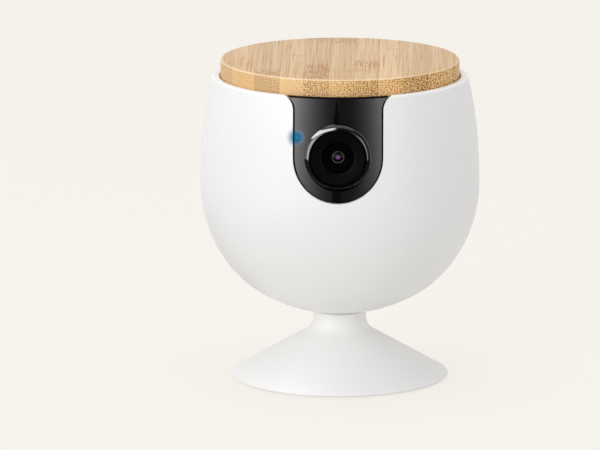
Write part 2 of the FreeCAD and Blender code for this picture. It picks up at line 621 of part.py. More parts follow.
# Main board with its processor can, radio antenna, cable socket and microphone
MAIN_LOW = f"({DECK_TOP} + 3.2)"
MAIN_HIGH = f"({MAIN_LOW} + main_board_height)"
keep(prism("main_board", "XZ_Plane", [
    ("0 - main_board_width / 2", f"{MAIN_LOW} + 6"),
    ("6 - main_board_width / 2", MAIN_LOW),
    ("main_board_width / 2 - 6", MAIN_LOW),
    ("main_board_width / 2", f"{MAIN_LOW} + 6"),
    ("main_board_width / 2", f"{MAIN_HIGH} - 4"),
    ("main_board_width / 2 - 4", MAIN_HIGH),
    ("4 - main_board_width / 2", MAIN_HIGH),
    ("0 - main_board_width / 2", f"{MAIN_HIGH} - 4"),
], "main_board_front - board_thickness", "board_thickness"), "main_board")
FRONT_SIDE = "(0 - main_board_front)"
keep(block("processor_shield", ("0 - 11", "11"), (f"{FRONT_SIDE} - 2.4", FRONT_SIDE),
           (f"{MAIN_LOW} + 12", f"{MAIN_LOW} + 30")), "processor_shield")
keep(block("wifi_antenna", ("16", "30"), (f"{FRONT_SIDE} - 1.2", FRONT_SIDE),
           (f"{MAIN_HIGH} - 10", f"{MAIN_HIGH} - 2")), "wifi_antenna")
SOCKET_LOW = f"({MAIN_LOW} + 3)"
keep(block("board_socket", ("0 - 4", "4"), (BOARD_BACK_Y, "3"), (SOCKET_LOW, f"{SOCKET_LOW} + 5")),
     "board_socket")
keep(block("microphone", ("0 - 30", "0 - 26"), (f"{FRONT_SIDE} - 1.1", FRONT_SIDE),
           (f"{MAIN_HIGH} - 10", f"{MAIN_HIGH} - 7")), "microphone")

# Speaker in its collar, facing the slots
def facing_rear(thing):
    thing.Placement = Placement(Vector(), Rotation(Vector(1, 0, 0), -90))
    return place(thing, "0", SPEAKER_FRONT, "speaker_height")


keep(facing_rear(turned("speaker_frame", [
    ("0", "0 - speaker_depth"),
    ("speaker_radius * 0.55", "0 - speaker_depth"),
    ("speaker_radius * 0.55", "0 - speaker_depth + 4"),
    ("speaker_radius", "0 - 2.4"),
    ("speaker_radius", "0"),
    ("speaker_radius - 1.4", "0"),
    ("speaker_radius - 1.4", "0 - 2"),
    ("speaker_radius * 0.45", "0 - speaker_depth + 4.2"),
    ("0", "0 - speaker_depth + 4.2"),
])), "speaker_frame")
keep(facing_rear(turned("speaker_cone", [
    ("0", "0 - speaker_depth + 4.3"),
    ("speaker_radius * 0.4", "0 - speaker_depth + 4.3"),
    ("speaker_radius - 1.45", "0 - 1.5"),
    ("speaker_radius - 1.45", "0 - 0.6"),
    ("0", "0 - speaker_depth + 6"),
])), "speaker_cone")

# Pan bearing: the hollow post stands in the base, the bush in the bowl turns on it
FLANGE_LOW = f"({HUB_TOP} + fit_gap)"
FLANGE_HIGH = f"({FLANGE_LOW} + bush_flange)"
NECK_TOP = f"({BOWL_BOTTOM} - seam_gap)"
WASHER_TOP = f"({BOWL_BOTTOM} - running_gap)"
WASHER_BOTTOM = f"({WASHER_TOP} - washer_thickness)"
GEAR_LOW = f"({BOWL_BOTTOM} + gear_rise)"
GEAR_HIGH = f"({GEAR_LOW} + gear_width)"
POST_TOP = f"({GEAR_HIGH} + 2.2)"
CLIP_LOW = f"({GEAR_HIGH} + 0.1)"
keep(turned("pan_bush", [
    ("post_radius + running_gap", f"{BOWL_BOTTOM} + 0.1"),
    (f"{BUSH_OUTER} - 0.02", f"{BOWL_BOTTOM} + 0.1"),
    (f"{BUSH_OUTER} - 0.02", FLANGE_LOW),
    ("hub_radius - 0.8", FLANGE_LOW),
    ("hub_radius - 0.8", FLANGE_HIGH),
    ("post_radius + running_gap", FLANGE_HIGH),
]), "pan_bush")
keep(turned("thrust_washer", [
    ("post_radius + 0.15", WASHER_BOTTOM),
    ("neck_radius - 0.9", WASHER_BOTTOM),
    ("neck_radius - 0.9", WASHER_TOP),
    ("post_radius + 0.15", WASHER_TOP),
]), "thrust_washer")
keep(turned("pivot_post", [
    ("post_bore_radius", "post_flange_height"),
    ("post_flange_radius", "post_flange_height"),
    ("post_flange_radius", "post_flange_height + post_flange_thickness"),
    ("post_radius", "post_flange_height + post_flange_thickness"),
    ("post_radius", POST_TOP),
    ("post_bore_radius", POST_TOP),
]), "pivot_post")
clip_ring = turned("clip_ring", [
    ("post_radius + 0.02", CLIP_LOW),
    ("post_radius + 2.2", CLIP_LOW),
    ("post_radius + 2.2", f"{CLIP_LOW} + 0.8"),
    ("post_radius + 0.02", f"{CLIP_LOW} + 0.8"),
])
clip_gap = block("clip_gap", ("0 - 1", "1"), ("0 - post_radius - 4", "0"),
                 (f"{CLIP_LOW} - 1", f"{CLIP_LOW} + 2"))
keep(cut("retaining_clip", clip_ring, [clip_gap]), "retaining_clip")


def toothed_wheel(teeth, width, turn):
    """Solid wheel with involute teeth; each flank is two short runs through three points of its involute."""
    module, backlash = value("gear_module"), value("gear_backlash")
    pressure = math.radians(20)
    pitch = module * teeth / 2
    base, tip, root = pitch * math.cos(pressure), pitch + 0.9 * module, pitch - 1.2 * module

    def involute(angle):
        return math.tan(angle) - angle

    def half_tooth(radius):
        at_pitch = math.pi / 2 / teeth - backlash / 4 / pitch + involute(pressure)
        return at_pitch - involute(math.acos(min(1.0, base / radius)))

    def spot(radius, angle):
        return Vector(radius * math.cos(angle), radius * math.sin(angle), 0)

    foot = max(base, root)
    corners = []
    for tooth in range(teeth):
        middle = turn + 2 * math.pi * tooth / teeth
        corners += [spot(root, middle - half_tooth(foot))]
        corners += [spot(radius, middle - half_tooth(radius)) for radius in (foot, pitch, tip)]
        corners += [spot(radius, middle + half_tooth(radius)) for radius in (tip, pitch, foot)]
        corners += [spot(root, middle + half_tooth(foot))]
    distinct = [corner for index, corner in enumerate(corners) if (corner - corners[index - 1]).Length > 1e-6]
    return Part.Face(Part.makePolygon(distinct + distinct[:1])).extrude(Vector(0, 0, width))


def wheel(name, shape):
    piece = doc.addObject("Part::Feature", name)
    piece.Shape = shape
    return piece


# Fixed gear on the post: 48 teeth over a long hub, with the lug that ends the turn
hub_length = value(f"{GEAR_LOW} - {FLANGE_HIGH} - 0.1")
width = value("gear_width")
gear_shape = toothed_wheel(int(value("gear_teeth")), width, 0.0)
gear_shape = gear_shape.fuse(Part.makeCylinder(
    value("post_radius + 2.6"), hub_length + width, Vector(0, 0, -hub_length)))
gear_shape = gear_shape.fuse(Part.makeBox(
    value("stop_width"), value("stop_length"), 2.1,
    Vector(-value("stop_width") / 2, value("stop_radius - stop_length / 2"), width)))
gear_shape = gear_shape.cut(Part.makeCylinder(
    value("post_radius + 0.02"), hub_length + width + 2, Vector(0, 0, -hub_length - 1)))
keep(place(wheel("fixed_gear", gear_shape), "0", "0", GEAR_LOW), "fixed_gear")

# Geared stepper motor on the deck; its shaft carries the pinion that walks round the fixed gear
SHAFT_TOP = f"({DECK_TOP} + 3)"
pinion_count = int(value("pinion_teeth"))
pinion_shape = toothed_wheel(pinion_count, width + 0.4, math.pi / pinion_count)
pinion_bore = Part.makeCylinder(value("shaft_radius + fit_gap"), width + 2, Vector(0, 0, -1))
pinion_shape = pinion_shape.cut(pinion_bore)
PINION_LOW = f"({GEAR_LOW} - 0.2)"
keep(place(wheel("drive_pinion", pinion_shape), "0", PINION_Y, PINION_LOW), "drive_pinion")
keep(rod("motor_shaft", "shaft_radius", "0", PINION_Y, PINION_LOW, f"{SHAFT_TOP} - {PINION_LOW}"),
     "motor_shaft")
motor_solid = turned("motor_solid", [
    ("0", f"{DECK} + 0.1"),
    (MOTOR_BOSS, f"{DECK} + 0.1"),
    (MOTOR_BOSS, DECK_TOP),
    ("motor_radius", DECK_TOP),
    ("motor_radius", f"{DECK_TOP} + motor_height"),
    ("0", f"{DECK_TOP} + motor_height"),
])
place(motor_solid, "0", PINION_Y)
ears = block("motor_ears", ("0 - motor_radius - 6", "motor_radius + 6"),
             (f"{PINION_Y} - 3.5", f"{PINION_Y} + 3.5"), (DECK_TOP, f"{DECK_TOP} + 1.2"))
motor_bore = rod("motor_bore", "shaft_radius + running_gap", "0", PINION_Y, UNDER_DECK,
                 f"{SHAFT_TOP} - {UNDER_DECK} + 0.3")
keep(cut("pan_motor", fuse("motor_with_ears", [motor_solid, ears]), [motor_bore]), "pan_motor")

# Base cover: cone, hollow blend and neck in one moulding, with the cable recess at the rear
TAN_SLOPE = "tan(cone_slope)"
APEX = f"(cone_foot + base_radius * {TAN_SLOPE})"
BLEND_Z = f"(neck_blend / cos(cone_slope) + {APEX} - (neck_radius + neck_blend) * {TAN_SLOPE})"
PLATE_TOP = "(base_edge + plate_thickness)"
FLANGE_SEAT = "(post_flange_height + post_flange_thickness + 0.02)"
INNER_APEX = f"({APEX} - base_wall / cos(cone_slope))"
cover_solid = turned("cover_solid", [
    ("post_radius + 0.3", "base_edge"),
    ("base_radius", "base_edge"),
    ("base_radius", "cone_foot"),
    ("neck_radius + neck_blend - neck_blend * sin(cone_slope)", f"{BLEND_Z} - neck_blend * cos(cone_slope)",
     "neck_blend", -1),
    ("neck_radius", BLEND_Z),
    ("neck_radius", NECK_TOP),
    ("neck_radius - 0.7", NECK_TOP),
    ("neck_radius - 0.7", WASHER_BOTTOM),
    ("post_radius + 0.3", WASHER_BOTTOM),
])
cover_cavity = turned("cover_cavity", [
    ("0", PLATE_TOP),
    (f"({INNER_APEX} - {PLATE_TOP}) / {TAN_SLOPE}", PLATE_TOP),
    ("post_flange_radius + 0.5", f"{INNER_APEX} - (post_flange_radius + 0.5) * {TAN_SLOPE}"),
    ("post_flange_radius + 0.5", FLANGE_SEAT),
    ("0", FLANGE_SEAT),
])
base_spots = [(f"base_screw_circle * {cosine}", f"base_screw_circle * {sine}")
              for cosine, sine in around(3, 270)]
cover_keeps = []
for number, spot in enumerate(base_spots):
    boss = many_sided(f"base_boss_{number}_body", 8, "screw_radius + 1.9", *spot, PLATE_TOP, "20")
    hole = many_sided(f"base_boss_{number}_hole", 8, "screw_radius + fit_gap", *spot, PLATE_TOP, "3.5")
    cover_keeps.append(cut(f"base_boss_{number}", boss, [hole]))
cover_keeps.append(block("inlet_wall", ("0 - inlet_width / 2 - base_wall", "inlet_width / 2 + base_wall"),
                         ("inlet_face - base_wall", "base_radius"), (PLATE_TOP, "20")))
cover_hollow = cut("cover_hollow", cover_cavity, cover_keeps)
HALF_WIDE, HALF_TALL = "(socket_width / 2 + 0.15)", "(socket_thickness / 2 + 0.15)"
inlet_cut = block("inlet_cut", ("0 - inlet_width / 2", "inlet_width / 2"), ("inlet_face", "base_radius + 2"),
                  ("inlet_floor", "20"))
socket_hole = block("socket_hole", (f"socket_offset - {HALF_WIDE}", f"socket_offset + {HALF_WIDE}"),
                    ("inlet_face - base_wall - 1", "inlet_face + 1"),
                    (f"socket_height - {HALF_TALL}", f"socket_height + {HALF_TALL}"))
button_hole = rod("button_hole", "button_radius + 0.1", "button_offset", "inlet_face - base_wall - 1",
                  "button_height", "base_wall + 2", -90)
plate_seat = rod("plate_seat", "plate_radius + 0.15", "0", "0", "base_edge - 1", "plate_thickness + 1")
keep(cut("base_cover", cover_solid, [cover_hollow, plate_seat, inlet_cut, socket_hole, button_hole]),
     "base_cover")

# Bottom plate on a rubber foot ring, with stand-offs for the power board
BOARD_LOW = "(socket_height - socket_thickness / 2 - board_thickness)"
BOARD_HIGH = f"({BOARD_LOW} + board_thickness)"
plate_disc = rod("plate_disc", "plate_radius", "0", "0", "base_edge", "plate_thickness")
standoffs = [block(f"board_standoff_{number}", (f"{x} - 1.5", f"{x} + 1.5"), (f"{y} - 1.5", f"{y} + 1.5"),
                   (f"{PLATE_TOP} - 0.5", BOARD_LOW))
             for number, (x, y) in enumerate((x, y) for x in (-9, 9) for y in (-3, 15))]
plate_holes = []
for number, spot in enumerate(base_spots):
    plate_holes.append(many_sided(f"plate_hole_{number}", 8, "screw_radius + 0.15", *spot, "0", "5"))
    plate_holes.append(many_sided(f"plate_sink_{number}", 12, "screw_radius * 2 + 0.2", *spot, "0",
                                  "base_edge + 0.7"))
keep(cut("base_plate", fuse("plate_solid", [plate_disc] + standoffs), plate_holes), "base_plate")
keep(turned("foot_ring", [
    ("foot_radius - foot_width / 2", "0"),
    ("foot_radius + foot_width / 2", "0"),
    ("foot_radius + foot_width / 2", "base_edge"),
    ("foot_radius - foot_width / 2", "base_edge"),
]), "foot_ring")
screws = []
for number, spot in enumerate(base_spots):
    screws.append(fuse(f"screw_{number}", [
        many_sided(f"screw_{number}_head", 12, "screw_radius * 2", *spot, "base_edge + 0.1", "0.6"),
        many_sided(f"screw_{number}_shank", 8, "screw_radius", *spot, "base_edge + 0.1", "4.2")]))
keep(group("base_screws", screws), "base_screws")

# Power board in the base, with the inlet socket, its tongue, the lead's plug and the reset switch
keep(block("power_board", ("0 - 12", "12"), ("0 - 6", "inlet_face - base_wall - 1"), (BOARD_LOW, BOARD_HIGH)),
     "power_board")


def capsule(name, half_width, half_height, y, length):
    """Flat bar with round sides along Y, centred on the socket."""
    flat = f"({half_width} - {half_height})"
    return fuse(name, [
        block(f"{name}_middle", (f"socket_offset - {flat}", f"socket_offset + {flat}"),
              (y, f"{y} + {length}"), (f"socket_height - {half_height}", f"socket_height + {half_height}")),
        rod(f"{name}_left", half_height, f"socket_offset - {flat}", y, "socket_height", length, -90),
        rod(f"{name}_right", half_height, f"socket_offset + {flat}", y, "socket_height", length, -90),
    ])


SOCKET_BACK = "(inlet_face - socket_depth)"
keep(cut("usb_socket", capsule("socket_shell", "(socket_width / 2)", "(socket_thickness / 2)", SOCKET_BACK,
                               "(socket_depth - 0.1)"),
         [capsule("socket_mouth", "(socket_width / 2 - socket_wall)", "(socket_thickness / 2 - socket_wall)",
                  f"({SOCKET_BACK} + 1.2)", "socket_depth")]), "usb_socket")
keep(block("usb_tongue", ("socket_offset - 3.2", "socket_offset + 3.2"),
           (f"{SOCKET_BACK} + 1.2", "inlet_face - 1.2"), ("socket_height - 0.35", "socket_height + 0.35")),
     "usb_tongue")
LEAD_LOW = f"({BOARD_HIGH} + 2.6)"
keep(block("lead_socket", ("0 - 3.5", "3.5"), ("0 - 3", "3"), (BOARD_HIGH, LEAD_LOW)), "lead_socket")
keep(rod("power_lead", "lead_radius", "0", "0", LEAD_LOW, f"{SOCKET_LOW} - 0.3 - {LEAD_LOW}"), "power_lead")
BUTTON_BACK = "(inlet_face - button_length)"
keep(fuse("reset_button", [
    rod("button_stem", "button_radius", "button_offset", BUTTON_BACK, "button_height", "button_length - 0.15",
        -90),
    rod("button_collar", "button_radius + 0.4", "button_offset", BUTTON_BACK, "button_height", "0.9", -90),
]), "reset_button")
SWITCH_FRONT = f"({BUTTON_BACK} - button_travel - 0.1)"
keep(block("reset_switch", ("button_offset - 3", "button_offset + 3"), (f"{SWITCH_FRONT} - 4", SWITCH_FRONT),
           (BOARD_HIGH, f"{BOARD_HIGH} + 3.6")), "reset_switch")

# Every feature must have built, and every piece must be a sound solid, before anything is written
doc.recompute()
for thing in doc.Objects:
    if "Invalid" in thing.State or "Error" in thing.State:
        raise RuntimeError(f"{thing.Label} failed: {thing.State}")
for piece in PIECES:
    shape = piece.Shape
    if shape.isNull() or not shape.isValid() or not shape.Solids:
        raise RuntimeError(f"{piece.Label} is not a sound solid")
os.makedirs("parts", exist_ok=True)
for piece in PIECES:
    piece.Shape.exportStep(f"parts/{piece.Label}.step")
print(len(PIECES), "pieces written")
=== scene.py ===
import json
import logging
from dataclasses import dataclass, field
from enum import Enum
from math import acos, asin, ceil, cos, degrees, pi, radians, sin, sqrt, tan

import bpy
from mathutils import Matrix, Vector


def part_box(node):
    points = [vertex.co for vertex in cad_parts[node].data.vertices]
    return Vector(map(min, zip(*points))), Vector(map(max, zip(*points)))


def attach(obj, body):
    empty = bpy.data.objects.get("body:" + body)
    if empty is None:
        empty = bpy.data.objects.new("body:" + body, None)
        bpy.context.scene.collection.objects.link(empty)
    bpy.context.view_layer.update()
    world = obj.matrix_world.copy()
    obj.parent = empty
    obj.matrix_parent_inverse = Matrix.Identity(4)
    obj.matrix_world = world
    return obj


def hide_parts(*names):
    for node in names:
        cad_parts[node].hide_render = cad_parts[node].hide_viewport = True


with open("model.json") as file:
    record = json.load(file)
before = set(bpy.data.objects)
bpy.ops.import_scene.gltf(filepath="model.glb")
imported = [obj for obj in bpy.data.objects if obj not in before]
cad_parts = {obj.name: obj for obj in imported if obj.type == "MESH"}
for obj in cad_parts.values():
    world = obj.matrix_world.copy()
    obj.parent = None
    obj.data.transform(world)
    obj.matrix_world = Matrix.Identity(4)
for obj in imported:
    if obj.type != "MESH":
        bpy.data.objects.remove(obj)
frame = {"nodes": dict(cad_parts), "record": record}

LOG = logging.getLogger("pet_camera")
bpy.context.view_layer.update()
MM = 0.001
FULL_TURN = 2 * pi
QUARTER_TURN = FULL_TURN / 4
MERGE_DISTANCE = 0.002 * MM
SHORTEST_EDGE = 0.001 * MM
ROD_SIDES = 48
SMOOTH_UNDER = 35.0
LOOKS_UP = 0.6
METAL_CLASSES = ("brushed_steel", "brass")

Point = tuple[float, float]
Place = tuple[float, float, float]
Fade = tuple[float, float, float, float]
Colour = tuple[float, float, float]
UNLIT: Colour = (0.0, 0.0, 0.0)


class Body(Enum):
    """CAD bodies that the pieces ride on."""

    BASE = "base"
    HEAD = "head"


class Finish(Enum):
    """Material slots of the record."""

    WHITE = "white_plastic"
    BAMBOO = "bamboo"
    PANEL = "black_panel"
    TRIM = "black_trim"
    MATT = "black_matt"
    BARREL = "barrel_black"
    GLASS = "lens_glass"
    LIGHT = "light_pipe"


def top_of(node: str) -> float:
    """Height of a CAD node's highest point."""
    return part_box(node)[1].z


def foot_of(node: str) -> float:
    """Height of a CAD node's lowest point."""
    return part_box(node)[0].z


def half_width_of(node: str) -> float:
    """Half of a CAD node's width across X."""
    low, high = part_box(node)
    return (high.x - low.x) / 2


def turns_between(start: float, end: float, count: int) -> list[float]:
    """Evenly spaced angles from start to end, both included."""
    return [start + (end - start) * step / count for step in range(count + 1)]


class Bench:
    """Modelling steps that every piece shares."""

    @staticmethod
    def clear() -> None:
        """Leave nothing selected, so that an operator acts only on what is picked next."""
        if bpy.context.object and bpy.context.object.mode != "OBJECT":
            bpy.ops.object.mode_set(mode="OBJECT")
        bpy.ops.object.select_all(action="DESELECT")

    @staticmethod
    def pick(piece: bpy.types.Object) -> None:
        """Select one piece and make it active.

        Args:
            piece: the piece.
        """
        Bench.clear()
        piece.select_set(True)
        bpy.context.view_layer.objects.active = piece

    @staticmethod
    def start_point(name: str, at: Vector) -> bpy.types.Object:
        """Begin a piece as one vertex.

        Args:
            name: name of the new piece.
            at: place of its first vertex.

        Returns:
            The new piece, in edit mode, with its vertex selected.
        """
        Bench.clear()
        bpy.ops.mesh.primitive_plane_add(size=MM, location=(0, 0, 0))
        piece = bpy.context.object
        piece.name = name
        bpy.ops.object.mode_set(mode="EDIT")
        bpy.ops.mesh.select_all(action="SELECT")
        bpy.ops.mesh.merge(type="CENTER")
        bpy.ops.transform.translate(value=at)
        return piece

    @staticmethod
    def draw(points: list[Vector]) -> None:
        """Extrude the selected vertex through points, starting from the first of them."""
        for here, there in zip(points, points[1:]):
            bpy.ops.mesh.extrude_region_move(TRANSFORM_OT_translate={"value": there - here})

    @staticmethod
    def lathe(name: str, outline: list[Point], steps: int) -> bpy.types.Object:
        """Spin a closed outline about the Z axis.

        Args:
            name: name of the new piece.
            outline: (radius, height) corners, closed from the last to the first.
            steps: facets in a full turn.

        Returns:
            The new piece, closed, with its faces pointing outwards.
        """
        points = [Vector((radius, 0.0, height)) for radius, height in outline]
        piece = Bench.start_point(name, points[0])
        Bench.draw(points + points[:1])
        bpy.ops.mesh.select_all(action="SELECT")
        bpy.ops.mesh.spin(steps=steps, angle=FULL_TURN, center=(0, 0, 0), axis=(0, 0, 1))
        Bench.close_up()
        return piece

    @staticmethod
    def close_up() -> None:
        """Merge doubles, turn the faces outwards and leave edit mode."""
        bpy.ops.mesh.select_all(action="SELECT")
        bpy.ops.mesh.remove_doubles(threshold=MERGE_DISTANCE)
        bpy.ops.mesh.dissolve_degenerate(threshold=SHORTEST_EDGE)
        bpy.ops.mesh.normals_make_consistent(inside=False)
        bpy.ops.object.mode_set(mode="OBJECT")

    @staticmethod
    def front_prism(name: str, outline: list[Point], start: float, length: float) -> bpy.types.Object:
        """Extrude an outline of the front view along Y.

        Args:
            name: name of the new piece.
            outline: (x, z) corners, closed from the last to the first.
            start: Y of the first end.
            length: signed distance to the other end.

        Returns:
            The new piece, closed.
        """
        points = [Vector((x, start, z)) for x, z in outline]
        piece = Bench.start_point(name, points[0])
        Bench.draw(points + points[:1])
        bpy.ops.mesh.select_all(action="SELECT")
        bpy.ops.mesh.remove_doubles(threshold=MERGE_DISTANCE)
        bpy.ops.mesh.edge_face_add()
        bpy.ops.mesh.extrude_region_move(TRANSFORM_OT_translate={"value": (0, length, 0)})
        Bench.close_up()
        return piece

    @staticmethod
    def box(name: str, low: Vector, high: Vector) -> bpy.types.Object:
        """Add a box between two corners.

        Args:
            name: name of the new piece.
            low: its lowest corner.
            high: its highest corner.

        Returns:
            The box.
        """
        Bench.clear()
        bpy.ops.mesh.primitive_cube_add(size=1.0, location=(low + high) / 2)
        piece = bpy.context.object
        piece.name = name
        piece.scale = high - low
        Bench.settle(piece)
        return piece

    @staticmethod
    def rod(name: str, radius: float, length: float, middle: Vector) -> bpy.types.Object:
        """Add a cylinder along Y.

        Args:
            name: name of the new piece.
            radius: its radius.
            length: its length.
            middle: its middle.

        Returns:
            The cylinder.
        """
        Bench.clear()
        bpy.ops.mesh.primitive_cylinder_add(vertices=ROD_SIDES, radius=radius, depth=length,
                                            rotation=(QUARTER_TURN, 0, 0), location=middle)
        piece = bpy.context.object
        piece.name = name
        Bench.settle(piece)
        return piece

    @staticmethod
    def settle(piece: bpy.types.Object) -> None:
        """Put a piece's place into its mesh."""
        Bench.pick(piece)
        bpy.ops.object.transform_apply(location=True, rotation=True, scale=True)

    @staticmethod
    def apply(piece: bpy.types.Object, kind: str, **settings: object) -> None:
        """Add one modifier and apply it.

        Args:
            piece: the piece that it changes.
            kind: modifier type.
            settings: attributes of the modifier.
        """
        Bench.pick(piece)
        modifier = piece.modifiers.new(kind.title(), kind)
        for key, setting in settings.items():
            setattr(modifier, key, setting)
        bpy.ops.object.modifier_apply(modifier=modifier.name)

    @staticmethod
    def carve(piece: bpy.types.Object, tool: bpy.types.Object, operation: str = "DIFFERENCE") -> None:
        """Cut, join or keep a piece by a tool, and remove the tool."""
        Bench.apply(piece, "BOOLEAN", object=tool, operation=operation, solver="EXACT")
        bpy.data.objects.remove(tool, do_unlink=True)

    @staticmethod
    def paint_top(piece: bpy.types.Object, look: bpy.types.Material) -> None:
        """Give the faces that look straight up a material of their own.

        Args:
            piece: the finished piece.
            look: the material.
        """
        piece.data.materials.append(look)
        for face in piece.data.polygons:
            if face.normal.z > LOOKS_UP:
                face.material_index = len(piece.data.materials) - 1

    @staticmethod
    def smooth(piece: bpy.types.Object, angle: float = SMOOTH_UNDER) -> None:
        """Shade smooth across edges flatter than an angle in degrees."""
        Bench.pick(piece)
        bpy.ops.object.shade_smooth_by_angle(angle=radians(angle))


def hand_over(piece: bpy.types.Object, body: Body, finish: Finish, look: bpy.types.Material,
              *nodes: str) -> bpy.types.Object:
    """Give a finished piece its look and its body, and hide the CAD nodes that it stands for.

    Args:
        piece: the finished piece.
        body: the CAD body that it moves with.
        finish: the record's slot that matches it; not used.
        look: its material.
        nodes: CAD nodes that it replaces.

    Returns:
        The same piece.
    """
    piece.data.materials.clear()
    piece.data.materials.append(look)
    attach(piece, body.value)
    if nodes:
        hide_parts(*nodes)
    LOG.info("%s rides on %s and stands for %s", piece.name, body.value, ", ".join(nodes) or "nothing")
    return piece


@dataclass
class Arc:
    """Part of an outline: a centre, a radius and angles measured down from level."""

    centre: Point
    radius: float
    start: float
    end: float

    def point(self, angle: float, inset: float) -> Point:
        """Point of the arc moved inwards by an inset."""
        reach = self.radius - inset
        return self.centre[0] + reach * cos(angle), self.centre[1] - reach * sin(angle)

    def points(self, inset: float, spacing: float) -> list[Point]:
        """Evenly spaced points, without the last one.

        Args:
            inset: distance inside the arc.
            spacing: longest step along it.

        Returns:
            Points from the arc's start up to its end.
        """
        count = max(1, ceil(abs(self.end - self.start) * self.radius / spacing))
        turn = (self.end - self.start) / count
        return [self.point(self.start + turn * step, inset) for step in range(count)]


@dataclass
class BowlSkin:
    """Outer skin of the bowl: five arcs, each tangent to the next."""

    widest: float = 49.0 * MM
    equator: float = 69.3 * MM
    rim: float = field(default_factory=lambda: top_of("head_shell"))
    shoulder_radius: float = 211.3 * MM
    shoulder_angle: float = radians(4.6)
    rim_arc_radius: float = 130.3 * MM
    flank_radius: float = 46.8 * MM
    flank_angle: float = radians(38.0)
    heel_radius: float = 39.8 * MM
    heel_angle: float = radians(61.4)
    flat_radius: float = 9.6 * MM
    front_share: float = 1.2
    end_margin: float = 0.3

    def arcs(self) -> list[Arc]:
        """The five arcs from the flat ring round the neck up to the rim.

        Returns:
            The arcs, each tangent to the next.
        """
        shoulder = (self.widest - self.shoulder_radius, self.equator)
        step_up = self.shoulder_radius - self.rim_arc_radius
        upper = (shoulder[0] + step_up * cos(self.shoulder_angle),
                 self.equator + step_up * sin(self.shoulder_angle))
        flank = (self.widest - self.flank_radius, self.equator)
        step_down = self.flank_radius - self.heel_radius
        heel = (flank[0] + step_down * cos(self.flank_angle),
                self.equator - step_down * sin(self.flank_angle))
        under_radius = heel[0] / cos(self.heel_angle) + self.heel_radius
        under = (0.0, heel[1] + heel[0] * tan(self.heel_angle))
        first_angle = acos(self.flat_radius / under_radius)
        last_angle = -asin((self.rim - upper[1]) / self.rim_arc_radius)
        return [
            Arc(under, under_radius, first_angle, self.heel_angle),
            Arc(heel, self.heel_radius, self.heel_angle, self.flank_angle),
            Arc(flank, self.flank_radius, self.flank_angle, 0.0),
            Arc(shoulder, self.shoulder_radius, 0.0, -self.shoulder_angle),
            Arc(upper, self.rim_arc_radius, -self.shoulder_angle, last_angle),
        ]

    @property
    def front_reach(self) -> float:
        """Signed distance along Y that reaches well out through the front."""
        return -self.front_share * self.widest

    def radius_at(self, height: float, inset: float = 0.0) -> float:
        """Radius of the upper part of the skin at a height, moved inwards by an inset.

        Args:
            height: height above the floor.
            inset: distance inside the outer skin.

        Returns:
            The radius.
        """
        *_, shoulder, upper = self.arcs()
        arc = upper if height > upper.point(upper.start, inset)[1] else shoulder
        return arc.centre[0] + sqrt((arc.radius - inset) ** 2 - (height - arc.centre[1]) ** 2)

    def outline(self, inset: float, low: float, high: float, spacing: float = 1.6 * MM) -> list[Point]:
        """Points of the skin between two heights, from the lower one up.

        Args:
            inset: distance inside the outer skin.
            low: lowest height.
            high: highest height.
            spacing: longest step along the outline.

        Returns:
            (radius, height) points, with exact ends on the upper arcs.
        """
        arcs = self.arcs()
        _, _, flank, _, _ = arcs
        margin = self.end_margin * spacing
        walked = [point for arc in arcs for point in arc.points(inset, spacing)]
        inside = [point for point in walked if low + margin < point[1] < high - margin]
        first = [] if low < flank.point(0.0, inset)[1] else [(self.radius_at(low, inset), low)]
        return first + inside + [(self.radius_at(high, inset), high)]


@dataclass
class Notch:
    """U-shaped notch in the front of the bowl, with flared corners at the rim."""

    width: float = 31.2 * MM
    centre: float = 86.7 * MM
    corner: float = 5.0 * MM
    overrun: float = 0.4 * MM
    rim: float = field(default_factory=lambda: top_of("head_shell"))
    clear: float = 4.0 * MM
    bend_steps: int = 24
    corner_steps: int = 10

    def outline(self, inset: float) -> list[Point]:
        """Corners in the front view, closed above the rim.

        Args:
            inset: makes the outline smaller all round.

        Returns:
            (x, z) corners.
        """
        half = self.width / 2 - inset
        flare = self.corner + inset
        flare_foot = self.rim + self.overrun - self.corner
        right = [(half * sin(turn), self.centre - half * cos(turn))
                 for turn in turns_between(0.0, QUARTER_TURN, self.bend_steps)]
        right += [(half + flare * (1 - cos(turn)), flare_foot + flare * sin(turn))
                  for turn in turns_between(0.0, QUARTER_TURN, self.corner_steps)]
        right.append((right[-1][0], self.rim + self.clear + inset))
        left = [(-x, z) for x, z in reversed(right[1:])]
        return right + left


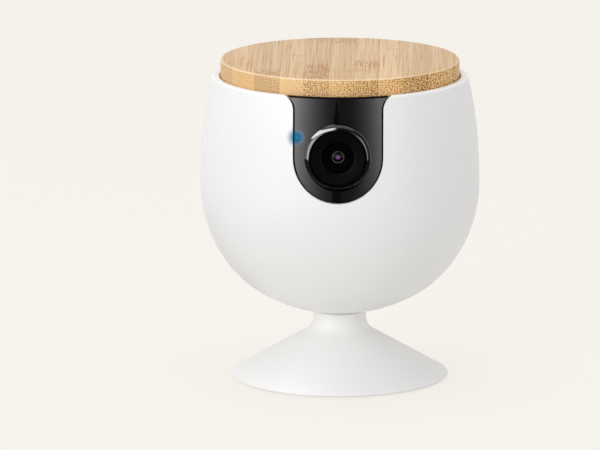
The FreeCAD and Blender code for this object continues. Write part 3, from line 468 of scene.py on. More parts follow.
class Nodes:
    """Short way to add and link shader nodes in one tree."""

    def __init__(self, tree: bpy.types.NodeTree) -> None:
        """Keep the tree."""
        self.tree = tree

    @classmethod
    def of(cls, look: bpy.types.Material) -> tuple["Nodes", bpy.types.Node]:
        """The nodes of a material and its Principled shader."""
        return cls(look.node_tree), look.node_tree.nodes["Principled BSDF"]

    def add(self, kind: str, settings: dict[str, object] | None = None, **inputs: object) -> bpy.types.Node:
        """Add one node.

        Args:
            kind: node type.
            settings: attributes of the node.
            inputs: values or sockets by input name, with _ for a space; i0, i1 and so on go by number.

        Returns:
            The node.
        """
        node = self.tree.nodes.new(kind)
        for key, setting in (settings or {}).items():
            setattr(node, key, setting)
        for key, given in inputs.items():
            name = int(key[1:]) if key[1:].isdigit() else key.replace("_", " ")
            self.feed(node.inputs[name], given)
        return node

    def feed(self, socket: bpy.types.NodeSocket, given: object) -> None:
        """Link a socket to another, or set its value.

        Args:
            socket: input socket.
            given: the socket or value that it takes.
        """
        if isinstance(given, bpy.types.NodeSocket):
            self.tree.links.new(given, socket)
        else:
            socket.default_value = given

    def math(self, operation: str, first: object, second: object = 0.0,
             third: object = 0.0) -> bpy.types.NodeSocket:
        """One Math node's result."""
        settings = {"operation": operation}
        return self.add("ShaderNodeMath", settings, i0=first, i1=second, i2=third).outputs[0]

    def vector_math(self, operation: str, first: object, second: object = (0.0, 0.0, 0.0),
                    result: int = 0) -> bpy.types.NodeSocket:
        """One Vector Math node's result: 0 for a vector, 1 for a value."""
        return self.add("ShaderNodeVectorMath", {"operation": operation}, i0=first, i1=second).outputs[result]

    def mix(self, factor: object, first: object, second: object, blend: str = "MIX") -> bpy.types.NodeSocket:
        """A colour mix's result."""
        settings = {"data_type": "RGBA", "blend_type": blend}
        return self.add("ShaderNodeMix", settings, i0=factor, i6=first, i7=second).outputs[2]

    def fade(self, given: object, low: object, high: object, start: float = 0.0, end: float = 1.0,
             smooth: bool = True) -> bpy.types.NodeSocket:
        """Map a value from one range to another, held at the ends.

        Args:
            given: the value.
            low: value that gives start.
            high: value that gives end.
            start: result at low.
            end: result at high.
            smooth: ease in and out of the ends.

        Returns:
            The result.
        """
        settings = {"interpolation_type": "SMOOTHSTEP" if smooth else "LINEAR", "clamp": True}
        node = self.add("ShaderNodeMapRange", settings, i0=given, i1=low, i2=high, i3=start, i4=end)
        return node.outputs[0]

    def place(self) -> bpy.types.NodeSocket:
        """Object coordinates."""
        return self.add("ShaderNodeTexCoord").outputs["Object"]

    def split(self, vector: bpy.types.NodeSocket) -> tuple[bpy.types.NodeSocket, ...]:
        """X, Y and Z of a vector."""
        return tuple(self.add("ShaderNodeSeparateXYZ", i0=vector).outputs)

    def vector(self, x: object, y: object, z: object) -> bpy.types.NodeSocket:
        """A vector from its three parts."""
        return self.add("ShaderNodeCombineXYZ", X=x, Y=y, Z=z).outputs[0]


def full(colour: Colour) -> tuple[float, float, float, float]:
    """A colour with alpha 1."""
    return (*colour, 1.0)


def bare_material(name: str) -> tuple[bpy.types.Material, Nodes]:
    """Start a material that has no nodes yet.

    Args:
        name: name of the material.

    Returns:
        The material and the nodes of its tree.
    """
    look = bpy.data.materials.new(name)
    look.use_nodes = True
    look.node_tree.nodes.clear()
    return look, Nodes(look.node_tree)


def open_group(name: str, given: dict[str, object],
               results: dict[str, object]) -> tuple[Nodes, bpy.types.Node]:
    """Start a node group.

    Args:
        name: name of the group.
        given: start value of each input by name: a number, a place or a colour.
        results: a value of the same kind as each output, by name.

    Returns:
        The nodes of its tree and its input node.
    """
    kinds = {3: "NodeSocketVector", 4: "NodeSocketColor"}
    tree = bpy.data.node_groups.new(name, "ShaderNodeTree")
    for side, sockets in (("INPUT", given), ("OUTPUT", results)):
        for label, start in sockets.items():
            kind = "NodeSocketFloat" if isinstance(start, float) else kinds[len(start)]
            tree.interface.new_socket(label, in_out=side, socket_type=kind).default_value = start
    nodes = Nodes(tree)
    return nodes, nodes.add("NodeGroupInput")


class MouldTexture:
    """Group that gives moulded plastic its fine spark texture and slow unevenness."""

    NAME = "mould_texture"
    GRAIN_DETAIL = 2.0
    SLOW_SCALE = 45.0
    SLOW_DETAIL = 3.0

    @classmethod
    def tree(cls) -> bpy.types.NodeTree:
        """Build the group once and give it back.

        Returns:
            The group's tree.
        """
        if cls.NAME in bpy.data.node_groups:
            return bpy.data.node_groups[cls.NAME]
        nodes, given = open_group(cls.NAME, {"Grain Scale": 3500.0, "Roughness": 0.4, "Unevenness": 0.05},
                                  {"Height": 0.0, "Roughness": 0.0})
        place = nodes.place()
        grain = nodes.add("ShaderNodeTexNoise", Vector=place, Scale=given.outputs["Grain Scale"],
                          Detail=cls.GRAIN_DETAIL)
        slow = nodes.add("ShaderNodeTexNoise", Vector=place, Scale=cls.SLOW_SCALE, Detail=cls.SLOW_DETAIL)
        swing = nodes.math("SUBTRACT", slow.outputs["Fac"], 0.5)
        rough = nodes.math("MULTIPLY_ADD", swing, given.outputs["Unevenness"], given.outputs["Roughness"])
        nodes.add("NodeGroupOutput", i0=grain.outputs["Fac"], i1=rough)
        return nodes.tree


class GlowTexture:
    """Group that fades a finish into a lamp's soft light round a point."""

    NAME = "lamp_glow"
    FROSTED = 0.95

    @classmethod
    def tree(cls) -> bpy.types.NodeTree:
        """Build the group once and give it back.

        Returns:
            The group's tree.
        """
        if cls.NAME in bpy.data.node_groups:
            return bpy.data.node_groups[cls.NAME]
        nodes, given = open_group(
            cls.NAME,
            {"Centre": (0.0, 0.0, 0.0), "Core": 0.0, "Radius": 0.0, "Tint": 0.0, "Roughness": 0.4,
             "Base": full(UNLIT), "Lamp": full(UNLIT)},
            {"Colour": full(UNLIT), "Roughness": 0.4, "Light": full(UNLIT)})
        away = nodes.vector_math("DISTANCE", nodes.place(), given.outputs["Centre"], 1)
        glow = nodes.fade(away, given.outputs["Radius"], given.outputs["Core"])
        lamp = given.outputs["Lamp"]
        tint = nodes.mix(nodes.math("MULTIPLY", glow, given.outputs["Tint"]), given.outputs["Base"], lamp)
        rough = given.outputs["Roughness"]
        frost = nodes.math("MULTIPLY_ADD", nodes.math("SUBTRACT", cls.FROSTED, rough), glow, rough)
        nodes.add("NodeGroupOutput", i0=tint, i1=frost, i2=nodes.mix(glow, full(UNLIT), lamp))
        return nodes.tree


@dataclass(frozen=True)
class Moulding:
    """Moulded plastic."""

    name: str
    colour: Colour
    roughness: float = 0.4
    specular: float = 0.5
    bump: float = 0.05
    unevenness: float = 0.05
    metallic: float = 0.0
    bump_height: float = 0.02 * MM

    def material(self) -> bpy.types.Material:
        """Make the material.

        Returns:
            A Principled material with the mould texture on it.
        """
        look = bpy.data.materials.new(self.name)
        look.use_nodes = True
        nodes, skin = Nodes.of(look)
        texture = nodes.add("ShaderNodeGroup", {"node_tree": MouldTexture.tree()}, Roughness=self.roughness,
                            Unevenness=self.unevenness)
        bump = nodes.add("ShaderNodeBump", Strength=self.bump, Distance=self.bump_height,
                         Height=texture.outputs["Height"])
        for name, given in (("Base Color", full(self.colour)), ("Specular IOR Level", self.specular),
                            ("Metallic", self.metallic), ("Roughness", texture.outputs["Roughness"]),
                            ("Normal", bump.outputs["Normal"])):
            nodes.feed(skin.inputs[name], given)
        return look


@dataclass(frozen=True)
class LampGlow:
    """Soft light that the status light throws on what is round it."""

    centre: Place
    core: float
    radius: float
    colour: Colour
    tint: float
    strength: float

    def add_to(self, look: bpy.types.Material) -> None:
        """Tint, frost and light a material round the centre.

        Args:
            look: the material.
        """
        nodes, skin = Nodes.of(look)
        glow = nodes.add("ShaderNodeGroup", {"node_tree": GlowTexture.tree()}, Centre=self.centre,
                         Core=self.core, Radius=self.radius, Tint=self.tint, Lamp=full(self.colour),
                         Base=tuple(skin.inputs["Base Color"].default_value),
                         Roughness=skin.inputs["Roughness"].links[0].from_socket)
        for name, result in (("Base Color", "Colour"), ("Roughness", "Roughness"),
                             ("Emission Color", "Light")):
            nodes.feed(skin.inputs[name], glow.outputs[result])
        skin.inputs["Emission Strength"].default_value = self.strength


@dataclass(frozen=True)
class Fibres:
    """Noise drawn out along Y, its grain as many times longer than wide as length says."""

    scale: float
    length: float
    detail: float

    def add_to(self, nodes: Nodes, x: object, y: object, z: object) -> bpy.types.NodeSocket:
        """Add the noise to a tree.

        Args:
            nodes: the tree's nodes.
            x: place across the fibres.
            y: place along the fibres.
            z: height.

        Returns:
            The noise, from 0 to 1.
        """
        drawn = nodes.vector(x, nodes.math("DIVIDE", y, self.length), z)
        noise = nodes.add("ShaderNodeTexNoise", Vector=drawn, Scale=self.scale, Detail=self.detail)
        return noise.outputs["Fac"]


@dataclass(frozen=True)
class Grain:
    """Values that every part of the bamboo's pattern starts from."""

    nodes: Nodes
    x: bpy.types.NodeSocket
    z: bpy.types.NodeSocket
    slide: bpy.types.NodeSocket
    strip: bpy.types.NodeSocket
    part: bpy.types.NodeSocket
    odd: bpy.types.NodeSocket
    tone: bpy.types.NodeSocket
    flip: bpy.types.NodeSocket
    climb: bpy.types.NodeSocket
    upright: bpy.types.NodeSocket
    facing_ends: bpy.types.NodeSocket


@dataclass(frozen=True)
class Bamboo:
    """Laminated bamboo: strips glued side by side, fibres running front to back."""

    name: str = "laminated_bamboo"
    pitch: float = 8.55 * MM
    first_joint: float = -3.36 * MM
    draw: float = 41.3
    slide_per_tone: float = 7.0
    pale: Colour = (0.71, 0.51, 0.30)
    warm: Colour = (0.61, 0.395, 0.21)
    side: Colour = (0.745, 0.475, 0.205)
    streak: Colour = (0.45, 0.215, 0.085)
    pore: Colour = (0.34, 0.135, 0.004)
    joint: Colour = (0.42, 0.24, 0.11)
    # Pale colour that paints a highlight on the chamfer round the top.
    chamfer_highlight: Colour = (0.97, 0.79, 0.52)
    broad: Fibres = Fibres(420.0, 45.0, 2.0)
    fibre: Fibres = Fibres(2300.0, 110.0, 3.0)
    dash: Fibres = Fibres(1700.0, 9.0, 1.0)
    side_cover: float = 0.9
    streak_cover: Point = (0.72, 0.1)
    streak_span: Point = (0.52, 0.67)
    dash_span: Point = (0.45, 0.54)
    patch_span: Point = (0.55, 0.62)
    patch_scale: float = 28.0
    pore_scale: float = 1200.0
    pore_scatter: float = 0.75
    pore_start: Point = (-15 * MM, -11 * MM)
    pore_size: Point = (0.12, 0.26)
    pore_growth: Fade = (14 * MM, 38 * MM, 0.0, 0.05)
    pore_edge: Point = (-0.01, 0.04)
    odd_pores: float = 0.05
    turned_pores: Point = (-0.02, 0.05)
    upright_span: Point = (0.85, 0.35)
    ends_span: Point = (0.12, 0.4)
    broad_span: Point = (0.3, 0.7)
    chamfer_highlight_cover: float = 0.45
    chamfer_highlight_climb: tuple[Point, Point] = ((0.35, 0.55), (0.95, 0.8))
    glue_span: Point = (0.022, 0.006)
    glue_cover: float = 0.45
    odd_shade: Point = (-0.04, -0.17)
    tone_shade: Point = (0.97, 1.06)
    pored_shade: float = 0.13
    specular: float = 0.4
    gloss_span: Fade = (0.3, 0.7, 0.42, 0.58)
    bump: float = 0.25
    bump_height: float = 0.05 * MM

    def grain(self, nodes: Nodes) -> Grain:
        """Work out the strips, their lots and which way the face looks.

        Args:
            nodes: the tree's nodes.

        Returns:
            The shared values.
        """
        x, y, z = nodes.split(nodes.place())
        across = nodes.math("DIVIDE", nodes.math("SUBTRACT", x, self.first_joint), self.pitch)
        strip = nodes.math("FLOOR", across)
        lot = nodes.add("ShaderNodeTexWhiteNoise", {"noise_dimensions": "1D"},
                        W=nodes.math("ADD", strip, self.draw))
        lots = nodes.add("ShaderNodeSeparateColor", Color=lot.outputs["Color"])
        tone = lots.outputs[0]
        normal = nodes.split(nodes.add("ShaderNodeTexCoord").outputs["Normal"])
        upright = nodes.fade(nodes.math("ABSOLUTE", normal[2]), *self.upright_span)
        ends = nodes.fade(nodes.math("ABSOLUTE", normal[1]), *self.ends_span)
        return Grain(
            nodes, x, z, nodes.math("MULTIPLY_ADD", tone, self.slide_per_tone, y), strip,
            part=nodes.math("FRACT", across),
            odd=nodes.math("MULTIPLY", nodes.math("FRACT", nodes.math("MULTIPLY", strip, 0.5)), 2.0),
            tone=tone, flip=lots.outputs[2], climb=normal[2], upright=upright,
            facing_ends=nodes.math("MULTIPLY", upright, ends))

    def long_grain(self, grain: Grain, fibre: bpy.types.NodeSocket) -> bpy.types.NodeSocket:
        """Broad tone, long streaks, and short dashes that crowd in patches of some strips.

        Args:
            grain: the shared values.
            fibre: the fine fibre noise.

        Returns:
            The colour so far.
        """
        nodes = grain.nodes
        broad = self.broad.add_to(nodes, grain.x, grain.slide, grain.z)
        dash = self.dash.add_to(nodes, grain.x, grain.slide, grain.z)
        lot_place = nodes.vector(grain.strip, nodes.math("MULTIPLY", grain.slide, self.patch_scale), 0.0)
        patch = nodes.add("ShaderNodeTexNoise", Vector=lot_place, Scale=1.0, Detail=2.0).outputs["Fac"]
        cover = nodes.fade(grain.upright, 0.0, 1.0, *self.streak_cover)
        marks = nodes.math("MULTIPLY", nodes.fade(patch, *self.patch_span), nodes.fade(dash, *self.dash_span))
        colour = nodes.mix(nodes.fade(broad, *self.broad_span), full(self.pale), full(self.warm))
        colour = nodes.mix(nodes.math("MULTIPLY", grain.upright, self.side_cover), colour, full(self.side))
        for mask in (nodes.fade(fibre, *self.streak_span), marks):
            colour = nodes.mix(nodes.math("MULTIPLY", mask, cover), colour, full(self.streak))
        return colour

    def pores(self, grain: Grain) -> bpy.types.NodeSocket:
        """Fibre bundles, seen as dots on the end grain, bigger towards one side of the disc.

        Args:
            grain: the shared values.

        Returns:
            The mask.
        """
        nodes = grain.nodes
        dots = nodes.add("ShaderNodeTexVoronoi", {"voronoi_dimensions": "2D"},
                         Vector=nodes.vector(grain.x, grain.z, 0.0), Scale=self.pore_scale,
                         Randomness=self.pore_scatter)
        turned = nodes.math("SUBTRACT", grain.part, nodes.math("GREATER_THAN", grain.flip, 0.5))
        size = nodes.math("ADD", nodes.fade(grain.x, *self.pore_start, *self.pore_size),
                          nodes.fade(grain.x, *self.pore_growth, smooth=False))
        size = nodes.math("MULTIPLY_ADD", grain.odd, self.odd_pores, size)
        turned = nodes.fade(nodes.math("ABSOLUTE", turned), 0.0, 1.0, *self.turned_pores)
        size = nodes.math("ADD", size, turned)
        inside = nodes.fade(nodes.math("SUBTRACT", size, dots.outputs["Distance"]), *self.pore_edge)
        return nodes.math("MULTIPLY", inside, grain.facing_ends)

    def chamfer_highlight_edge(self, grain: Grain) -> bpy.types.NodeSocket:
        """Painted highlight: a paler band on the chamfer round the top.

        Args:
            grain: the shared values.

        Returns:
            The mask.
        """
        rising, falling = (grain.nodes.fade(grain.climb, *span) for span in self.chamfer_highlight_climb)
        return grain.nodes.math("MULTIPLY", grain.nodes.math("MULTIPLY", rising, falling), self.chamfer_highlight_cover)

    def glue_lines(self, grain: Grain) -> bpy.types.NodeSocket:
        """Thin darker lines between the strips.

        Args:
            grain: the shared values.

        Returns:
            The mask.
        """
        nodes = grain.nodes
        edge = nodes.math("MINIMUM", grain.part, nodes.math("SUBTRACT", 1.0, grain.part))
        return nodes.math("MULTIPLY", nodes.fade(edge, *self.glue_span), self.glue_cover)

    def shade(self, grain: Grain) -> bpy.types.NodeSocket:
        """Grey that darkens or lightens each strip.

        Args:
            grain: the shared values.

        Returns:
            The grey.
        """
        nodes = grain.nodes
        darker = nodes.math("MULTIPLY", grain.odd, nodes.fade(grain.upright, 0.0, 1.0, *self.odd_shade))
        level = nodes.math("ADD", darker, nodes.fade(grain.tone, 0.0, 1.0, *self.tone_shade, smooth=False))
        pored = nodes.fade(grain.x, *self.pore_start, 0.0, self.pored_shade)
        level = nodes.math("MULTIPLY_ADD", pored, grain.upright, level)
        return nodes.add("ShaderNodeCombineColor", i0=level, i1=level, i2=level).outputs[0]

    def material(self) -> bpy.types.Material:
        """Make the material.

        Returns:
            A Principled material whose pattern is solid, so that it runs on over the edge.
        """
        look = bpy.data.materials.new(self.name)
        look.use_nodes = True
        nodes, skin = Nodes.of(look)
        grain = self.grain(nodes)
        fibre = self.fibre.add_to(nodes, grain.x, grain.slide, grain.z)
        colour = self.long_grain(grain, fibre)
        # Pores, a painted highlight on the chamfer, and glue lines, laid over the grain.
        for mask, over in ((self.pores(grain), self.pore), (self.chamfer_highlight_edge(grain), self.chamfer_highlight),
                           (self.glue_lines(grain), self.joint)):
            colour = nodes.mix(mask, colour, full(over))
        colour = nodes.mix(1.0, colour, self.shade(grain), "MULTIPLY")
        bump = nodes.add("ShaderNodeBump", Strength=self.bump, Distance=self.bump_height, Height=fibre)
        for name, given in (("Base Color", colour), ("Specular IOR Level", self.specular),
                            ("Roughness", nodes.fade(fibre, *self.gloss_span)),
                            ("Normal", bump.outputs["Normal"])):
            nodes.feed(skin.inputs[name], given)
        return look


@dataclass
class Finishes:
    """Every material of the object, made once."""

    shell: bpy.types.Material
    base: bpy.types.Material
    bamboo: bpy.types.Material
    panel: bpy.types.Material
    # Dull darker black on the panel's top faces: painted shade under the lid.
    panel_top_shade: bpy.types.Material
    bezel: bpy.types.Material
    hood: bpy.types.Material
    barrel: bpy.types.Material
    glass: bpy.types.Material
    light: bpy.types.Material


@dataclass(frozen=True)
class CoatedGlass:
    """Small dark lens with a violet coating in the middle, painted glints right of the middle, and a painted
    highlight round its edge, brighter towards the bottom.
    """

    centre: Vector
    name: str = "coated_lens"
    dark: Colour = (0.003, 0.003, 0.004)
    violet: Colour = (0.17, 0.07, 0.22)
    # Painted highlights: glint colours the glints right of the middle, edge colours the rim, which brightens
    # towards the bottom.
    glint: Colour = (0.50, 0.50, 0.12)
    edge: Colour = (0.20, 0.20, 0.21)
    roughness: float = 0.05
    specular: float = 0.12
    violet_span: Point = (0.95 * MM, 0.5 * MM)
    glint_scale: float = 2300.0
    glint_size: float = 0.2
    glint_side: Point = (0.1 * MM, 0.6 * MM)
    glint_reach: Point = (1.1 * MM, 0.9 * MM)
    rim_highlight_span: Point = (1.86 * MM, 1.98 * MM)
    rim_highlight_fall: Fade = (1.6 * MM, -1.8 * MM, 0.45, 1.0)

    def material(self) -> bpy.types.Material:
        """Make the material.

        Returns:
            A glossy Principled material coloured by the distance from the lens axis.
        """
        look = Moulding(self.name, self.dark, self.roughness, self.specular, bump=0.0,
                        unevenness=0.0).material()
        nodes, skin = Nodes.of(look)
        place = nodes.place()
        away = nodes.vector_math("SUBTRACT", place, self.centre)
        side, _, height = nodes.split(away)
        flat = nodes.vector_math("MULTIPLY", away, (1.0, 0.0, 1.0))
        reach = nodes.vector_math("LENGTH", flat, result=1)
        glint_cells = nodes.add("ShaderNodeTexVoronoi", {"voronoi_dimensions": "3D"}, Vector=place,
                           Scale=self.glint_scale)
        # Painted glints, only right of the middle.
        lit = nodes.math("LESS_THAN", glint_cells.outputs["Distance"], self.glint_size)
        lit = nodes.math("MULTIPLY", lit, nodes.fade(side, *self.glint_side))
        lit = nodes.math("MULTIPLY", lit, nodes.fade(reach, *self.glint_reach))
        # Painted highlight round the rim, brighter towards the bottom.
        bright = nodes.fade(height, *self.rim_highlight_fall)
        bright = nodes.math("MULTIPLY", bright, nodes.fade(reach, *self.rim_highlight_span))
        colour = full(self.dark)
        for mask, over in ((nodes.fade(reach, *self.violet_span), self.violet), (lit, self.glint),
                           (bright, self.edge)):
            colour = nodes.mix(mask, colour, full(over))
        nodes.feed(skin.inputs["Base Color"], colour)
        return look


@dataclass
class Front:
    """Sizes and places on the bowl's front that its pieces and their finishes share.

    Heights along the lens axis are measured from the bezel's face.
    """

    skin: BowlSkin = field(default_factory=BowlSkin)
    panel_recess: float = 1.0 * MM
    light_height: float = 93.7 * MM
    light_offset: float = 14.1 * MM
    lens_height: float = 87.0 * MM
    lens_tilt: float = radians(1.5)
    bezel_proud: float = 1.2 * MM
    hood_face: float = -0.6 * MM
    barrel_face: float = -2.0 * MM
    glass_edge: float = -3.2 * MM

    @property
    def light_spot(self) -> Place:
        """Where the status light meets the panel's face."""
        radius = self.skin.radius_at(self.light_height, self.panel_recess)
        return -self.light_offset, -sqrt(radius ** 2 - self.light_offset ** 2), self.light_height

    @property
    def lens_axis(self) -> Matrix:
        """Place and turn of the lens axis."""
        face_y = -(self.skin.radius_at(self.lens_height, self.panel_recess) + self.bezel_proud)
        return (Matrix.Translation((0.0, face_y, self.lens_height))
                @ Matrix.Rotation(QUARTER_TURN + self.lens_tilt, 4, "X"))

    @property
    def glass_centre(self) -> Vector:
        """Middle of the circle where the front glass meets the barrel."""
        return self.lens_axis @ Vector((0.0, 0.0, self.glass_edge))


def make_finishes(front: Front) -> Finishes:
    """Make the materials.

    Args:
        front: places of the status light and the front glass.

    Returns:
        All of the finishes.
    """
    white = (0.885, 0.888, 0.892)
    warm_white = (0.94, 0.935, 0.92)
    black = (0.004, 0.004, 0.0045)
    shade_black = (0.0015, 0.001, 0.0008)
    hood_black = (0.0018, 0.0018, 0.002)
    barrel_black = (0.0009, 0.0009, 0.0011)
    unlit_blue = (0.004, 0.06, 0.14)
    blue = (0.002, 0.152, 0.285)
    pale_blue = (0.004, 0.19, 0.35)
    light_strength = 0.75
    shell = Moulding("satin_white_shell", white, roughness=0.42, specular=0.22, bump=0.08).material()
    panel = Moulding("gloss_black_panel", black, roughness=0.035, bump=0.0, unevenness=0.0).material()
    LampGlow(front.light_spot, core=1.2 * MM, radius=4.3 * MM, colour=pale_blue, tint=0.95,
             strength=0.05).add_to(shell)
    LampGlow(front.light_spot, core=0.7 * MM, radius=3.4 * MM, colour=blue, tint=0.1,
             strength=0.78).add_to(panel)
    light = Moulding("blue_status_light", unlit_blue, roughness=0.5, specular=0.1, bump=0.0).material()
    _, lamp = Nodes.of(light)
    lamp.inputs["Emission Color"].default_value = full(blue)
    lamp.inputs["Emission Strength"].default_value = light_strength
    # Painted shade: a darker, dull black for the panel's top faces, standing for the shadow under the lid.
    edge = Moulding("panel_top_painted_shade", shade_black, roughness=0.6, specular=0.03, bump=0.0)
    return Finishes(
        shell=shell,
        base=Moulding("satin_white_base", warm_white, roughness=0.42, specular=0.3, bump=0.08).material(),
        bamboo=Bamboo().material(),
        panel=panel,
        panel_top_shade=edge.material(),
        bezel=Moulding("black_bezel", black, roughness=0.1, specular=0.9, bump=0.0).material(),
        hood=Moulding("black_hood", hood_black, roughness=0.4, specular=0.05, bump=0.1).material(),
        barrel=Moulding("black_barrel", barrel_black, roughness=0.4, specular=0.02).material(),
        glass=CoatedGlass(front.glass_centre).material(),
        light=light,
    )


@dataclass
class Head:
    """Bowl, lid and front panel."""

    finishes: Finishes
    front: Front
    notch: Notch = field(default_factory=Notch)
    wall: float = 2.4 * MM
    steps: int = 192
    rim_round: float = 1.0 * MM
    rim_steps: int = 6
    inner_start: float = 0.2 * MM
    lid_gap: float = 0.45 * MM
    lip: float = 0.3 * MM
    ledge: Point = (3.6 * MM, 2.0 * MM)
    hub: Place = (7.55 * MM, 10.6 * MM, 4.9 * MM)
    hub_gap: float = 0.5 * MM
    slot: Place = (1.5 * MM, 8.0 * MM, 2.0 * MM)
    slot_pitch: float = 3.1 * MM
    slot_circle: float = 10.0 * MM
    slots_each_side: int = 3
    slot_round: float = 0.49
    slot_segments: int = 5
    speaker_height: float = 70.0 * MM
    light_radius: float = 0.85 * MM
    light_fit: float = 0.15 * MM
    light_length: float = 20.0 * MM
    light_recess: float = 0.05 * MM
    light_trim: float = 3.0 * MM
    light_spacing: float = 0.4 * MM
    light_steps: int = 360
    lid_chamfer: float = 0.5 * MM
    lid_ease: float = 0.15 * MM
    lid_bend: float = 0.3
    lid_steps: int = 256
    lid_smooth: float = 30.0
    panel_gap: float = 0.5 * MM
    panel_chamfer: float = 0.4 * MM
    panel_clear: float = 0.3 * MM
    panel_spacing: float = 1.0 * MM
    panel_steps: int = 384
    panel_smooth: float = 25.0
    flange: Place = (2.2 * MM, 0.5 * MM, 1.2 * MM)
    flange_steps: int = 256

    @property
    def lid_radius(self) -> float:
        """Radius of the bamboo disc."""
        return half_width_of("bamboo_lid")

    @property
    def skin(self) -> BowlSkin:
        """Outer skin of the bowl."""
        return self.front.skin

    @property
    def ledge_bottom(self) -> float:
        """Height of the underside of the ledge that the lid's carrier lies on."""
        return foot_of("lid_carrier") - self.ledge[1]

    def rim_corner(self) -> list[Point]:
        """Rounded outer edge of the rim, from the skin to the top.

        Returns:
            (radius, height) points.
        """
        low = self.skin.rim - self.rim_round
        outer = self.skin.radius_at(low)
        return [(outer - self.rim_round * (1 - cos(turn)), low + self.rim_round * sin(turn))
                for turn in turns_between(0.0, QUARTER_TURN, self.rim_steps)[1:]]

    def shell_outline(self) -> list[Point]:
        """Section of the bowl: out along the skin, over the rim and ledge, and back to the hub.

        Returns:
            (radius, height) corners.
        """
        bottom = foot_of("head_shell")
        bore, hub_radius, hub_rise = self.hub
        mouth = self.lid_radius + self.lid_gap
        step = foot_of("lid_carrier")
        ledge_end = mouth - self.ledge[0]
        outer = self.skin.outline(0.0, bottom - MM, self.skin.rim - self.rim_round)
        inner = self.skin.outline(self.wall, bottom + self.wall + self.inner_start, self.ledge_bottom)
        outline = [(bore, bottom)] + outer + self.rim_corner()
        outline += [(mouth + self.lip, self.skin.rim), (mouth, self.skin.rim - self.lip), (mouth, step),
                    (ledge_end, step), (ledge_end, self.ledge_bottom)]
        outline += [point for point in reversed(inner) if point[0] > hub_radius + self.hub_gap]
        outline += [(hub_radius, outline[-1][1]), (hub_radius, bottom + hub_rise), (bore, bottom + hub_rise)]
        return outline

    def build_shell(self) -> bpy.types.Object:
        """Turn the bowl and cut its notch and sound slots.

        Returns:
            The finished shell.
        """
        shell = Bench.lathe("bowl_shell", self.shell_outline(), self.steps)
        notch = Bench.front_prism("notch_tool", self.notch.outline(0.0), 0.0, self.skin.front_reach)
        Bench.carve(shell, notch)
        for step in range(-self.slots_each_side, self.slots_each_side + 1):
            Bench.carve(shell, self.slot_tool(step * self.slot_pitch))
        Bench.smooth(shell)
        return hand_over(shell, Body.HEAD, Finish.WHITE, self.finishes.shell, "head_shell")

    def slot_tool(self, x: float) -> bpy.types.Object:
        """Rounded bar that cuts one sound slot, as long as the circle round the slots lets it be.

        Args:
            x: place of the slot across the back.

        Returns:
            The bar.
        """
        width, depth, overrun = self.slot
        half = sqrt(self.slot_circle ** 2 - x ** 2)
        low = Vector((x - width / 2, self.skin.widest - depth, self.speaker_height - half))
        high = Vector((x + width / 2, self.skin.widest + overrun, self.speaker_height + half))
        tool = Bench.box("slot_tool", low, high)
        Bench.apply(tool, "BEVEL", width=width * self.slot_round, segments=self.slot_segments,
                    limit_method="NONE")
        return tool

    def light_bar(self, name: str, radius: float) -> bpy.types.Object:
        """Bar along Y through the status light."""
        middle = Vector((-self.front.light_offset, -self.skin.widest, self.front.light_height))
        return Bench.rod(name, radius, self.light_length, middle)

    def build_light(self) -> bpy.types.Object:
        """Trim the light pipe to the panel's face.

        Returns:
            The finished light pipe.
        """
        pipe = self.light_bar("status_light", self.light_radius)
        back = -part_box("status_light_pipe")[1].y
        height = self.front.light_height
        inset = self.front.panel_recess + self.light_recess
        outline = self.skin.outline(inset, height - self.light_trim, height + self.light_trim,
                                    self.light_spacing)
        keep = Bench.lathe("light_trim", [(back, outline[0][1])] + outline + [(back, outline[-1][1])],
                           self.light_steps)
        Bench.carve(pipe, keep, "INTERSECT")
        Bench.smooth(pipe)
        return hand_over(pipe, Body.HEAD, Finish.LIGHT, self.finishes.light, "status_light_pipe")

    def build_lid(self) -> bpy.types.Object:
        """Turn the bamboo disc with a small chamfer round its top edge.

        Returns:
            The finished disc.
        """
        low, high = (corner.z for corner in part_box("bamboo_lid"))
        radius, chamfer, ease = self.lid_radius, self.lid_chamfer, self.lid_ease
        bend = self.lid_bend * ease
        disc = Bench.lathe("lid_disc", [
            (0.0, low), (radius, low), (radius, high - chamfer - ease), (radius - bend, high - chamfer),
            (radius - chamfer, high - bend), (radius - chamfer - ease, high), (0.0, high)], self.lid_steps)
        Bench.smooth(disc, self.lid_smooth)
        return hand_over(disc, Body.HEAD, Finish.BAMBOO, self.finishes.bamboo, "bamboo_lid")

    def notch_slice(self, name: str, section: list[Point], inset: float, steps: int) -> bpy.types.Object:
        """Turn a ring and keep the part of it that lies in the notch's outline.

        Args:
            name: name of the new piece.
            section: the ring's (radius, height) corners.
            inset: makes the notch's outline smaller all round.
            steps: facets in a full turn.

        Returns:
            The slice.
        """
        piece = Bench.lathe(name, section, steps)
        keep = Bench.front_prism("notch_tool", self.notch.outline(inset), 0.0, self.skin.front_reach)
        Bench.carve(piece, keep, "INTERSECT")
        return piece

